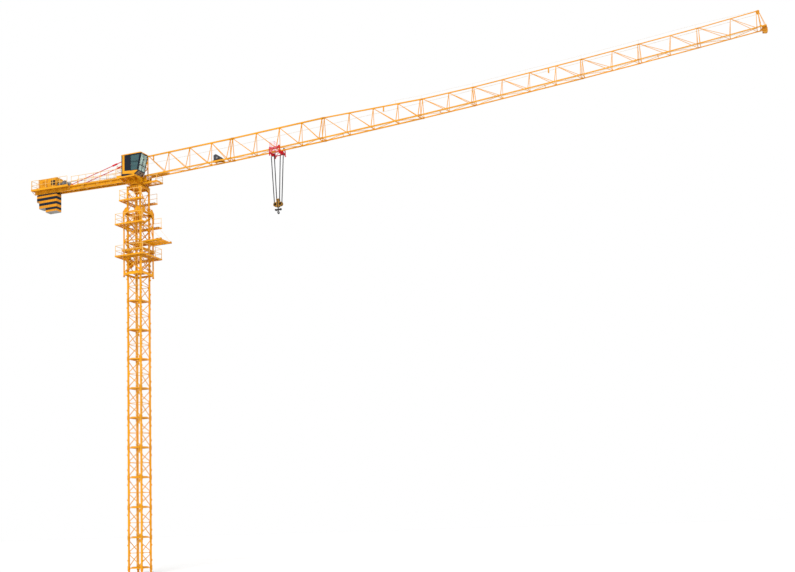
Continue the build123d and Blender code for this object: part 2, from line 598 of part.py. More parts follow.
# walkway on the beams, and the wider deck of the winch end
DT = CJ_H + 0.04
walk = [slab(DECK_X1, -1.10, -0.52, 0.52, line(CJ_H), line(DT))]
rear = [slab(DECK_X0, DECK_X1, -DECK_Y, DECK_Y, line(CJ_H), line(DT))]
for s in (-1, 1):
    y0, y1 = sorted((s * DECK_Y, s * (DECK_Y - 0.05)))
    rear.append(slab(DECK_X0, DECK_X1, y0, y1, line(CJ_H - 0.06), line(DT)))
    y0, y1 = sorted((s * (CJ_Y + 0.002), s * (DECK_Y - 0.02)))
    for k in range(6):
        x = DECK_X1 - 0.06 - k * 0.94
        rear.append(slab(x - 0.03, x + 0.03, y0, y1, line(CJ_H - 0.06), line(CJ_H + 0.01)))
save("counter_jib_deck", fuse(walk + rear))

rails = []
r = RAIL_D
TOPD = DT + 0.002


def rail_run(xs, y):
    out = []
    x0, x1 = min(xs), max(xs)
    for h_ in (RAIL_H, 0.55):
        out.append(slab(x0, x1, y - r / 2, y + r / 2, line(TOPD + h_ - r), line(TOPD + h_)))
    for x in xs:
        out.append(slab(x - r / 2, x + r / 2, y - r / 2, y + r / 2, line(TOPD), line(TOPD + RAIL_H)))
    return out


for s in (-1, 1):
    rails.append(fuse(rail_run([-1.5 - 0.95 * k for k in range(8)], s * 0.50)))
for s in (-1, 1):
    rails.append(fuse(rail_run([-8.4 - 0.94 * k for k in range(6)], s * (DECK_Y - 0.03))))
xe = -8.4 - 0.94 * 5
ye = DECK_Y - 0.10
rr = []
for h_ in (RAIL_H, 0.55):
    rr.append(slab(xe - 0.02 - r / 2, xe - 0.02 + r / 2, -ye, ye, line(TOPD + h_ - r), line(TOPD + h_)))
for y in (-ye + r / 2, 0, ye - r / 2):
    rr.append(slab(xe - 0.02 - r / 2, xe - 0.02 + r / 2, y - r / 2, y + r / 2, line(TOPD), line(TOPD + RAIL_H)))
rails.append(fuse(rr))
save("counter_jib_rails", Compound(children=[s for q in rails for s in q.solids()]))

# tie rods, each with a fork near the top
TX, TZ = -8.20, cz(-8.20) + DT
ties = []
for s in (-1, 1):
    a, b = (HX0 - 0.14, s * HY, HEAD_TOP), (TX, s * HY, TZ + 0.16)
    u = lambda t: tuple(a[k] + (b[k] - a[k]) * t for k in range(3))
    parts = [rod(u(0.02), u(1.0), 0.045), bar(u(0.22), u(0.29), 0.10, 0.09), bar(u(0.0), u(0.03), 0.06, 0.12),
             bar(u(0.985), u(1.0), 0.06, 0.10),
             box(TX - 0.08, TX + 0.08, s * HY - 0.02, s * HY + 0.02, TZ + 0.002, TZ + 0.20)]
    t_ = fuse(parts)
    # clear of the ears of the tower head, which they clasp
    t_ = t_ - box(HX0 - 0.2, HX0 + 0.1, s * HY - 0.041, s * HY + 0.041, HEAD_TOP - 0.2, HEAD_TOP + 0.2)
    ties.append(t_)
save("tie_rods", Compound(children=[s for q in ties for s in q.solids()]))

# hoist winch: frame and motor, and its drum across the deck
WX, WZ = -9.12, cz(-9.12) + DT + 0.42
skid = [slab(-10.05, -8.62, s * 0.47 - 0.035, s * 0.47 + 0.035, line(DT + 0.002), line(DT + 0.10)) for s in (-1, 1)]
for s in (-1, 1):
    skid.append(slab(WX - 0.30, WX + 0.30, s * 0.47 - 0.03, s * 0.47 + 0.03, line(DT + 0.05), lambda x: WZ + 0.10))
skid.append(slab(-9.72, -9.58, -0.47, 0.47, line(DT + 0.01), line(DT + 0.12)))
skid.append(slab(-10.0, -9.55, -0.46, 0.02, line(DT + 0.05), lambda x: WZ + 0.16))
skid.append(cyl((-9.78, 0.22, WZ - 0.10), 0.17, 0.44, "y"))
frame_ = fuse(skid)
frame_ = frame_ - cyl((WX, 0, WZ), 0.075, 2.0, "y")
save("hoist_winch", frame_)
drum = [cyl((WX, 0, WZ), 0.30, 0.80, "y"), cyl((WX, 0, WZ), 0.065, 1.02, "y")]
for s in (-1, 1):
    drum.append(cyl((WX, s * 0.395, WZ), 0.36, 0.05, "y"))
save("hoist_drum", fuse(drum))

# winch housing: an open-bottomed cabinet of sheet
hx0, hx1, hy0, hy1, htop = -12.45, -10.14, -0.45, 0.60, 41.52
hsg = slab(hx0, hx1, hy0, hy1, line(DT + 0.002), lambda x: htop) - slab(hx0 + 0.04, hx1 - 0.04, hy0 + 0.04, hy1 - 0.04, line(DT - 0.1), lambda x: htop - 0.04)
save("winch_housing", hsg)

slabs = []
for k, zbm in enumerate(CW_BOTTOMS):
    x = CW_X0 + k * CW_PITCH
    slabs.append(box(x, x + CW_T, -CW_Y, CW_Y, zbm, CW_TOP - 0.02))
slabs = Compound(children=slabs)
save("counterweights", slabs)


# ------------------------------------------------------------------ trolley
tb = zb(TROLLEY_X)
slope = math.degrees(math.asin((TROLLEY_X - CAMBER_X) / CAMBER_R))


def tilt(shape):
    """Turned to the jib's slope about the chord's centre at the trolley."""
    c_ = pt((TROLLEY_X, 0, tb))
    return shape.moved(Location((-c_.X, -c_.Y, -c_.Z))).moved(Location((0, 0, 0), (0, -slope, 0))).moved(Location((c_.X, c_.Y, c_.Z)))


def tbox(x0, x1, y0, y1, z0, z1):
    return tilt(box(TROLLEY_X + x0, TROLLEY_X + x1, y0, y1, tb + z0, tb + z1))


YO = CHORD_Y + CHORD / 2
TL = 0.60
SHEAVE_X = 0.495
fr = []
for s in (-1, 1):
    ya, yb_ = sorted((s * (YO + 0.065), s * (YO + 0.135)))
    fr.append(tbox(-TL, TL, ya, yb_, -0.02, 0.12))
    for x in (-TL, TL - 0.08):
        fr.append(tbox(x, x + 0.08, ya, yb_, -0.64, 0.0))
    fr.append(tbox(-TL, TL, ya, yb_, -0.40, -0.32))
for x in (-TL, TL - 0.08):
    fr.append(tbox(x, x + 0.08, -YO - 0.1, YO + 0.1, -0.40, -0.32))
for x in (-SHEAVE_X, SHEAVE_X):
    fr.append(tbox(x - 0.02, x + 0.02, -YO - 0.1, YO + 0.1, -0.46, -0.34))
    for y in (-0.075, 0.075):
        fr.append(tbox(x - 0.19, x + 0.19, y - 0.012, y + 0.012, -0.55, -0.30))
    fr.append(tilt(cyl((TROLLEY_X + x, 0, tb - 0.425), 0.11, 0.14, "y")))
save("trolley_frame", fuse(fr))
wh = []
for s in (-1, 1):
    for x in (-0.50, 0.50):
        c_ = (TROLLEY_X + x, s * (YO + 0.005), tb + CHORD / 2 + 0.085 + 0.018)
        wh.append(tilt(cyl(c_, 0.085, 0.09, "y")))
save("trolley_wheels", Compound(children=wh))
BK0, BK1 = YO + 0.64, YO + 0.145
BX0, BX1, BZ0, BZ1 = -0.24, 0.31, -0.50, 0.46
bk = [tbox(BX0, BX1, -BK0, -BK1, BZ0, BZ0 + 0.04)]
for x in (BX0, BX1 - 0.03):
    for y in (-BK0, -BK1 - 0.03):
        bk.append(tbox(x, x + 0.03, y, y + 0.03, BZ0 + 0.02, BZ1))
for zz in (-0.02, BZ1 - 0.03):
    bk.append(tbox(BX0, BX1, -BK0, -BK0 + 0.03, zz, zz + 0.03))
    bk.append(tbox(BX0, BX0 + 0.03, -BK0, -BK1, zz, zz + 0.03))
    bk.append(tbox(BX1 - 0.03, BX1, -BK0, -BK1, zz, zz + 0.03))
bk.append(tbox(BX0, BX1, -BK1 - 0.03, -BK1 + 0.008, -0.02, 0.06))
save("trolley_basket", fuse(bk))

# ------------------------------------------------------------------ hook block, ropes, hook
HB = 34.92


def plate(outline, y0, y1):
    w = Wire.make_polygon([pt((HOOK_X + a_, y0, HB + b_)) for a_, b_ in outline], close=True)
    return Solid.extrude(Face(w), Vector(0, (y1 - y0) * M, 0))


# two cheeks with three lobes: a sheave in each lower lobe, a pinned head above
cheek = [(-0.13, 0.50), (0.13, 0.50), (0.18, 0.40), (0.17, 0.24), (0.30, 0.17), (0.45, 0.10), (0.49, -0.05), (0.44, -0.20), (0.30, -0.27), (0.14, -0.34),
         (-0.14, -0.34), (-0.30, -0.27), (-0.44, -0.20), (-0.49, -0.05), (-0.45, 0.10), (-0.30, 0.17), (-0.17, 0.24), (-0.18, 0.40)]
hb = [plate(cheek, y - 0.02, y + 0.02) for y in (-0.10, 0.10)]
hb.append(plate([(-0.08, 0.38), (0.08, 0.38), (0.08, 0.48), (-0.08, 0.48)], -0.11, 0.11))
hb.append(plate([(-0.14, -0.34), (0.14, -0.34), (0.10, -0.22), (-0.10, -0.22)], -0.11, 0.11))
save("hook_block", fuse(hb))
# a sheave in each lower lobe; a fall leaves it on either side
hs = [cyl((HOOK_X + x, 0, HB), 0.08, 0.15, "y") for x in (-0.27, 0.27)]
save("hook_sheaves", Compound(children=hs))
rp = []
for x0, x1 in ((-0.66, -0.405), (-0.33, -0.135), (0.33, 0.135), (0.66, 0.405)):
    rp.append(rod((HOOK_X + x0, 0, tb - 0.58), (HOOK_X + x1, 0, HB), ROPE_D))
save("hoist_ropes", Compound(children=rp))
hk = [cyl((HOOK_X, 0, HB - 0.42), 0.055, 0.14, "z"), cyl((HOOK_X, 0, HB - 0.54), 0.11, 0.12, "z")]
# crossbar with heavy ends, along the jib
hk.append(plate([(-0.36, -0.48), (-0.18, -0.48), (-0.12, -0.53), (0.12, -0.53), (0.18, -0.48), (0.36, -0.48), (0.36, -0.62), (0.28, -0.68), (0.18, -0.68), (0.12, -0.64),
                 (-0.12, -0.64), (-0.18, -0.68), (-0.28, -0.68), (-0.36, -0.62)], -0.08, 0.08))
# the hook itself lies across the jib
hook_out = [(-0.09, -0.62), (0.07, -0.62), (0.10, -0.70), (0.20, -0.76), (0.24, -0.86), (0.18, -0.96), (0.06, -1.01), (-0.08, -1.00),
            (-0.20, -0.93), (-0.25, -0.84), (-0.20, -0.79), (-0.14, -0.84), (-0.06, -0.89), (0.04, -0.89), (0.09, -0.84), (0.06, -0.78), (-0.06, -0.72)]
w = Wire.make_polygon([pt((HOOK_X - 0.06, a_, HB + b_)) for a_, b_ in hook_out], close=True)
hk.append(Solid.extrude(Face(w), Vector(0.12 * M, 0, 0)))
save("hook", fuse(hk))
print(len(NODES), "nodes")
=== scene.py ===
import bpy
import math
from mathutils import Vector, Matrix


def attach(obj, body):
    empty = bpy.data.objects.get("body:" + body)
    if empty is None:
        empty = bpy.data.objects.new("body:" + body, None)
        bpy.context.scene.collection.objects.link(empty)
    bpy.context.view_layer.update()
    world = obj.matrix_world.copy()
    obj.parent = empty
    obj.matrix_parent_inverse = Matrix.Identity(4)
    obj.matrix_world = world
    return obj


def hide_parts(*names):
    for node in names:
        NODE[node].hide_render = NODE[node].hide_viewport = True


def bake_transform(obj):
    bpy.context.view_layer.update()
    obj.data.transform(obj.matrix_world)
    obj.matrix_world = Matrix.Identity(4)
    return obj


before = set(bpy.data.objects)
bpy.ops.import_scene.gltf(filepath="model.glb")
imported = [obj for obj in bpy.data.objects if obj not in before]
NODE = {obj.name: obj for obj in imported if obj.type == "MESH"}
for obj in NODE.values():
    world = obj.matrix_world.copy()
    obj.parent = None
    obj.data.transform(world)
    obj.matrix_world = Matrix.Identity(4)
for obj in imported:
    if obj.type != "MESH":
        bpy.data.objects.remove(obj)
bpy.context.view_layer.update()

# ---------------------------------------------------------------------------
# The crane's real lengths in metres, heights from the first mast joint; the
# model is 1:10 and stands with its foundation frame's underside at z = 0.
# ---------------------------------------------------------------------------
S = 0.1
BASE = 0.65
SECTION = 3.0
LEG, LEG_W, LEG_TOP = 0.763, 0.15, 38.45
CAGE, CAGE_W, CAGE_Z0, CAGE_Z1, CAGE_RING = 1.04, 0.11, 29.45, 36.20, 29.79
PLATFORMS = {"cage_lower_platform": (31.57, 1.70, 1.12), "cage_upper_platform": (34.90, 1.70, 1.12),
             "mast_top_platform": (37.45, 1.40, 0.87)}
RAIL_H = 1.05
RING_Z = 39.12
TURN_Z0, TURN_Z1 = 39.26, 39.74
HX0, HX1, HY, HEAD_TOP = -0.55, 0.90, 0.42, 42.12
CAB_X0, CAB_X1, CAB_Y0, CAB_Y1, CAB_Z0, CAB_Z1 = -0.58, 1.81, -2.05, -0.85, 39.77, 41.88
JOINTS = (1.26, 11.16, 21.33, 31.47, 36.52, 46.52, 51.51, 56.46, 61.26)
TOP_Z = (42.10, 42.34, 42.70, 42.72, 42.93, 43.60, 43.97, 44.37, 44.84)
PANELS = ((3.78, 6.28, 8.86), (14.0, 16.58, 19.03), (24.11, 26.6, 29.13), (34.18,),
          (39.3, 41.83, 44.25), (49.24,), (54.21,), (59.14,))
CAMBER_X, CAMBER_Z, CAMBER_R = -12.765, 843.55, 803.72
CHORD_Y, CHORD = 0.42, 0.115
CJ_H, CJ_Y, CJ_END = 0.36, 0.42, -13.05
DT = CJ_H + 0.04
DECK_X0, DECK_X1, DECK_Y = -13.15, -8.30, 0.90
CW_X0, CW_PITCH, CW_T, CW_Y, CW_TOP = -12.77, 0.29, 0.27, 0.41, 39.84
CW_BOTTOMS = (39.09, 38.34, 38.34, 38.34, 37.86, 37.86, 37.86, 37.86, 37.86)
TROLLEY_X = HOOK_X = 16.28
HB = 34.92
ROPE_D = 0.09
MAST, TOP, DRUM, TROLLEY, BLOCK, HOOK = "mast", "slewing_top", "hoist_drum", "trolley", "hook_block", "hook"


def zb(x):
    """Height of the jib's bottom chord centres."""
    return CAMBER_Z - math.sqrt(CAMBER_R ** 2 - (x - CAMBER_X) ** 2)


def cz(x):
    """Height of the counter-jib beams' underside."""
    return 39.66 - 0.022 * x


def lerp(a, b, t):
    return a + (b - a) * t


TB = zb(TROLLEY_X)
SLOPE = math.asin((TROLLEY_X - CAMBER_X) / CAMBER_R)
WX = -9.12
WZ = cz(WX) + DT + 0.42


def jib_b(x):
    """Bottom chord centre height inside the straight section that holds x."""
    for i in range(8):
        if x <= JOINTS[i + 1] or i == 7:
            a, b = JOINTS[i], JOINTS[i + 1]
            return lerp(zb(a), zb(b), (x - a) / (b - a))


def jib_t(x):
    for i in range(8):
        if x <= JOINTS[i + 1] or i == 7:
            a, b = JOINTS[i], JOINTS[i + 1]
            return lerp(TOP_Z[i], TOP_Z[i + 1], (x - a) / (b - a))


# ---------------------------------------------------------------------------
# materials
# ---------------------------------------------------------------------------
def _nodes(name):
    m = bpy.data.materials.new(name)
    m.use_nodes = True
    t = m.node_tree
    t.nodes.clear()
    out = t.nodes.new("ShaderNodeOutputMaterial")
    b = t.nodes.new("ShaderNodeBsdfPrincipled")
    t.links.new(b.outputs["BSDF"], out.inputs["Surface"])
    return m, t, b


def _noise(t, coord, scale, detail=3.0, rough=0.55):
    n = t.nodes.new("ShaderNodeTexNoise")
    n.inputs["Scale"].default_value = scale
    n.inputs["Detail"].default_value = detail
    n.inputs["Roughness"].default_value = rough
    t.links.new(coord, n.inputs["Vector"])
    return n.outputs["Fac"]


def _ramp(t, fac, stops):
    r = t.nodes.new("ShaderNodeValToRGB")
    e = r.color_ramp.elements
    while len(e) > 1:
        e.remove(e[-1])
    e[0].position, e[0].color = stops[0][0], tuple(stops[0][1]) + (1,)
    for p, c in stops[1:]:
        x = e.new(p)
        x.color = tuple(c) + (1,)
    t.links.new(fac, r.inputs["Fac"])
    return r.outputs["Color"]


def _gray(t, fac, a, b, lo=0.0, hi=1.0):
    """Fac mapped from a..b to lo..hi, clamped."""
    n = t.nodes.new("ShaderNodeMapRange")
    n.clamp = True
    for k, v in zip(("From Min", "From Max", "To Min", "To Max"), (a, b, lo, hi)):
        n.inputs[k].default_value = v
    t.links.new(fac, n.inputs["Value"])
    return n.outputs["Result"]


def _mix(t, fac, a, b, mode="MIX"):
    n = t.nodes.new("ShaderNodeMix")
    n.data_type = "RGBA"
    n.blend_type = mode
    n.clamp_factor = True
    if isinstance(fac, (int, float)):
        n.inputs[0].default_value = fac
    else:
        t.links.new(fac, n.inputs[0])
    for sock, v in ((n.inputs[6], a), (n.inputs[7], b)):
        if isinstance(v, tuple):
            sock.default_value = v + (1,)
        else:
            t.links.new(v, sock)
    return n.outputs[2]


def _math(t, op, a, b):
    n = t.nodes.new("ShaderNodeMath")
    n.operation = op
    n.use_clamp = op in ("MULTIPLY", "ADD")
    for i, v in enumerate((a, b)):
        if isinstance(v, (int, float)):
            n.inputs[i].default_value = v
        else:
            t.links.new(v, n.inputs[i])
    return n.outputs[0]


def _scaled(t, coord, xyz):
    n = t.nodes.new("ShaderNodeMapping")
    n.inputs["Scale"].default_value = xyz
    t.links.new(coord, n.inputs["Vector"])
    return n.outputs["Vector"]


def paint(name, col, rough=0.42, grime=(0.20, 0.10, 0.03), grime_amount=0.45, chips=(0.16, 0.07, 0.03), chip_at=0.70,
          dust=0.10, coat=0.0, bump=0.25, spread=0.12, spec=0.22):
    """Sprayed steel: broad fading, rain streaks, dust on what faces up, chips down to primer and rust, orange-peel bump."""
    m, t, b = _nodes(name)
    tc = t.nodes.new("ShaderNodeTexCoord")
    co = tc.outputs["Object"]
    lo = tuple(c * (1 - spread) for c in col)
    hi = tuple(min(1.0, c * (1 + spread * 0.7)) for c in col)
    broad = _noise(t, co, 4.0, 4.0)
    base = _ramp(t, broad, [(0.32, lo), (0.68, hi)])
    streak = _noise(t, _scaled(t, co, (70.0, 70.0, 6.0)), 1.0, 5.0, 0.6)
    base = _mix(t, _gray(t, streak, 0.52, 0.78, 0.0, grime_amount), base, grime)
    geo = t.nodes.new("ShaderNodeNewGeometry")
    sep = t.nodes.new("ShaderNodeSeparateXYZ")
    t.links.new(geo.outputs["Normal"], sep.inputs[0])
    up = _gray(t, sep.outputs["Z"], 0.55, 0.95, 0.0, dust)
    cloud = _gray(t, _noise(t, co, 22.0, 4.0), 0.35, 0.65)
    base = _mix(t, _math(t, "MULTIPLY", up, cloud), base, (0.46, 0.42, 0.36))
    fine = _noise(t, co, 360.0, 6.0, 0.7)
    chip = _gray(t, fine, chip_at, chip_at + 0.03)
    base = _mix(t, chip, base, chips)
    t.links.new(base, b.inputs["Base Color"])
    r = _gray(t, _noise(t, co, 40.0, 3.0), 0.3, 0.7, rough - 0.07, rough + 0.12)
    r = _math(t, "ADD", r, _math(t, "MULTIPLY", chip, 0.3))
    t.links.new(r, b.inputs["Roughness"])
    b.inputs["Coat Weight"].default_value = coat
    b.inputs["Coat Roughness"].default_value = 0.25
    b.inputs["Specular IOR Level"].default_value = spec
    bn = t.nodes.new("ShaderNodeBump")
    bn.inputs["Strength"].default_value = bump
    bn.inputs["Distance"].default_value = 0.0004
    h = _math(t, "SUBTRACT", _noise(t, co, 420.0, 2.0), _math(t, "MULTIPLY", chip, 0.8))
    t.links.new(h, bn.inputs["Height"])
    t.links.new(bn.outputs["Normal"], b.inputs["Normal"])
    return m


def metal(name, col, rough=0.4, metallic=0.9, grime=(0.03, 0.025, 0.02), grime_amount=0.5, stretch=(60.0, 60.0, 60.0), bump=0.3):
    """Bare or oiled steel: brushed direction, oil stains, worn bright patches."""
    m, t, b = _nodes(name)
    tc = t.nodes.new("ShaderNodeTexCoord")
    co = tc.outputs["Object"]
    n = _noise(t, _scaled(t, co, stretch), 1.0, 4.0)
    base = _ramp(t, n, [(0.3, tuple(c * 0.75 for c in col)), (0.7, tuple(min(1, c * 1.15) for c in col))])
    stain = _noise(t, co, 35.0, 5.0, 0.65)
    base = _mix(t, _gray(t, stain, 0.5, 0.72, 0.0, grime_amount), base, grime)
    t.links.new(base, b.inputs["Base Color"])
    b.inputs["Metallic"].default_value = metallic
    t.links.new(_gray(t, stain, 0.3, 0.7, rough - 0.08, rough + 0.18), b.inputs["Roughness"])
    bn = t.nodes.new("ShaderNodeBump")
    bn.inputs["Strength"].default_value = bump
    bn.inputs["Distance"].default_value = 0.0003
    t.links.new(_noise(t, co, 500.0, 2.0), bn.inputs["Height"])
    t.links.new(bn.outputs["Normal"], b.inputs["Normal"])
    return m


def glass(name, col):
    """Laminated glass in the given colour, with wipe smears and dust along its depth."""
    m, t, b = _nodes(name)
    tc = t.nodes.new("ShaderNodeTexCoord")
    co = tc.outputs["Object"]
    smear = _noise(t, _scaled(t, co, (9.0, 9.0, 40.0)), 1.0, 4.0)
    base = _ramp(t, smear, [(0.3, tuple(c * 0.8 for c in col)), (0.7, tuple(min(1.0, c * 1.3) for c in col))])
    t.links.new(base, b.inputs["Base Color"])
    t.links.new(_gray(t, _noise(t, co, 60.0, 3.0), 0.35, 0.7, 0.03, 0.22), b.inputs["Roughness"])
    b.inputs["Transmission Weight"].default_value = 0.45
    b.inputs["IOR"].default_value = 1.45
    b.inputs["Specular IOR Level"].default_value = 0.5
    return m


YELLOW = (0.74, 0.318, 0.003)
GRIME = (0.39, 0.148, 0.008)
m_yellow = paint("paint_crane_yellow", YELLOW, grime=GRIME, grime_amount=0.32)
# a darker copy of the crane yellow: painted shade for parts under, behind or inside the structure
m_yellow_shade = paint("paint_crane_yellow_painted_shade", (0.56, 0.212, 0.003), rough=0.5, grime=(0.30, 0.105, 0.006), grime_amount=0.4)
m_yellow_pale = paint("paint_rail_yellow", (0.84, 0.50, 0.14), rough=0.45, grime=GRIME, grime_amount=0.25)
m_trim = paint("paint_cab_trim", (0.74, 0.31, 0.003), rough=0.36, grime=GRIME, grime_amount=0.18, spec=0.3)
m_stripe = paint("paint_counterweight_yellow", (0.66, 0.26, 0.004), rough=0.6, grime=(0.30, 0.12, 0.02), grime_amount=0.45, chip_at=0.66)
m_navy = paint("paint_navy", (0.006, 0.011, 0.022), rough=0.45, grime=(0.03, 0.03, 0.03), grime_amount=0.25, chips=(0.09, 0.08, 0.075), chip_at=0.76, spec=0.15, dust=0.05)
m_dark = paint("paint_machine_grey", (0.050, 0.052, 0.060), rough=0.5, grime=(0.02, 0.018, 0.015), chips=(0.20, 0.19, 0.18), chip_at=0.74, dust=0.06, spec=0.2)
m_winch = paint("paint_winch_grey", (0.17, 0.17, 0.175), rough=0.5, grime=(0.07, 0.065, 0.06), grime_amount=0.4, chips=(0.25, 0.24, 0.22), chip_at=0.76, dust=0.05, spec=0.2)
m_rope_wound = paint("wire_rope_wound", (0.24, 0.24, 0.24), rough=0.6, grime=(0.08, 0.08, 0.08), grime_amount=0.4, chips=(0.3, 0.3, 0.3), chip_at=0.72, bump=0.6, spec=0.15, dust=0.0)
m_grey_light = paint("paint_motor_grey", (0.13, 0.14, 0.15), rough=0.5, grime=(0.03, 0.025, 0.02), chips=(0.3, 0.28, 0.26), chip_at=0.74, spec=0.25)
m_grey_brown = paint("paint_chin_grey", (0.28, 0.21, 0.15), rough=0.6, grime=(0.05, 0.04, 0.03), chips=(0.05, 0.04, 0.035), chip_at=0.72, spec=0.2)
m_red = paint("paint_signal_red", (0.66, 0.008, 0.022), rough=0.42, grime=(0.12, 0.004, 0.008), grime_amount=0.4, chips=(0.16, 0.05, 0.04), chip_at=0.74, spec=0.18)
m_red_pale = paint("paint_red_faded", (0.78, 0.17, 0.21), rough=0.5, grime=(0.3, 0.08, 0.06), grime_amount=0.3)
m_block = paint("paint_hook_block", (0.34, 0.165, 0.02), rough=0.55, grime=(0.06, 0.03, 0.012), grime_amount=0.65, chips=(0.08, 0.06, 0.05), chip_at=0.62, spec=0.2)
m_concrete = paint("concrete_cast", (0.30, 0.29, 0.27), rough=0.85, grime=(0.12, 0.11, 0.10), grime_amount=0.5, chips=(0.18, 0.17, 0.16), chip_at=0.60, bump=0.6, spec=0.15)
m_frame = paint("paint_window_frame", (0.012, 0.016, 0.022), rough=0.5, grime=(0.04, 0.04, 0.04), chips=(0.12, 0.12, 0.12), chip_at=0.78, spec=0.2)
m_seat = paint("seat_cloth", (0.035, 0.04, 0.05), rough=0.9, grime=(0.015, 0.015, 0.015), chips=(0.05, 0.05, 0.05), chip_at=0.6, bump=0.7, spec=0.1)
m_hose = paint("rubber_hose", (0.012, 0.012, 0.012), rough=0.6, grime=(0.05, 0.045, 0.04), chips=(0.03, 0.03, 0.03), chip_at=0.7, bump=0.5, spec=0.3)
m_rubber = paint("rubber_wiper", (0.014, 0.014, 0.015), rough=0.65, grime=(0.05, 0.05, 0.05), chips=(0.03, 0.03, 0.03), chip_at=0.72, spec=0.25)
m_shadow_fill = paint("louvre_shadow", (0.010, 0.009, 0.008), rough=0.9, grime=(0.02, 0.018, 0.015), chips=(0.02, 0.02, 0.02), chip_at=0.7, spec=0.05)
m_lamp = paint("lamp_lens", (0.55, 0.52, 0.42), rough=0.15, grime=(0.3, 0.28, 0.22), chips=(0.4, 0.4, 0.36), chip_at=0.8, spec=0.6, coat=0.4)
m_steel = metal("steel_bright", (0.34, 0.34, 0.35), 0.38)
m_bolt = metal("steel_bolts", (0.20, 0.17, 0.13), 0.45, 0.7)
m_black = metal("cast_iron_black", (0.020, 0.020, 0.021), 0.45, 0.3)
# gratings get a darker copy of the crane yellow: painted shade for their undersides
m_grate_shade = paint("grating_yellow_shaded", (0.56, 0.24, 0.02), rough=0.6, grime=(0.30, 0.13, 0.03), grime_amount=0.5, chips=(0.30, 0.24, 0.18), chip_at=0.66, spec=0.15)
m_rope = paint("wire_rope_greased", (0.020, 0.020, 0.021), rough=0.75, grime=(0.008, 0.008, 0.008), chips=(0.05, 0.05, 0.05), chip_at=0.68, bump=0.8, spec=0.05, dust=0.0)
m_wire = metal("lifeline_wire", (0.66, 0.46, 0.24), 0.6, 0.1, stretch=(200.0, 200.0, 200.0))
# the side panes' dark colour is painted shade of the cab's inside, the front pane's pale colour a painted reflection
m_glass_side_shade = glass("cab_glass_side_painted_shade", (0.045, 0.13, 0.14))
m_glass_front_reflection = glass("cab_glass_front_painted_reflection", (0.48, 0.66, 0.61))


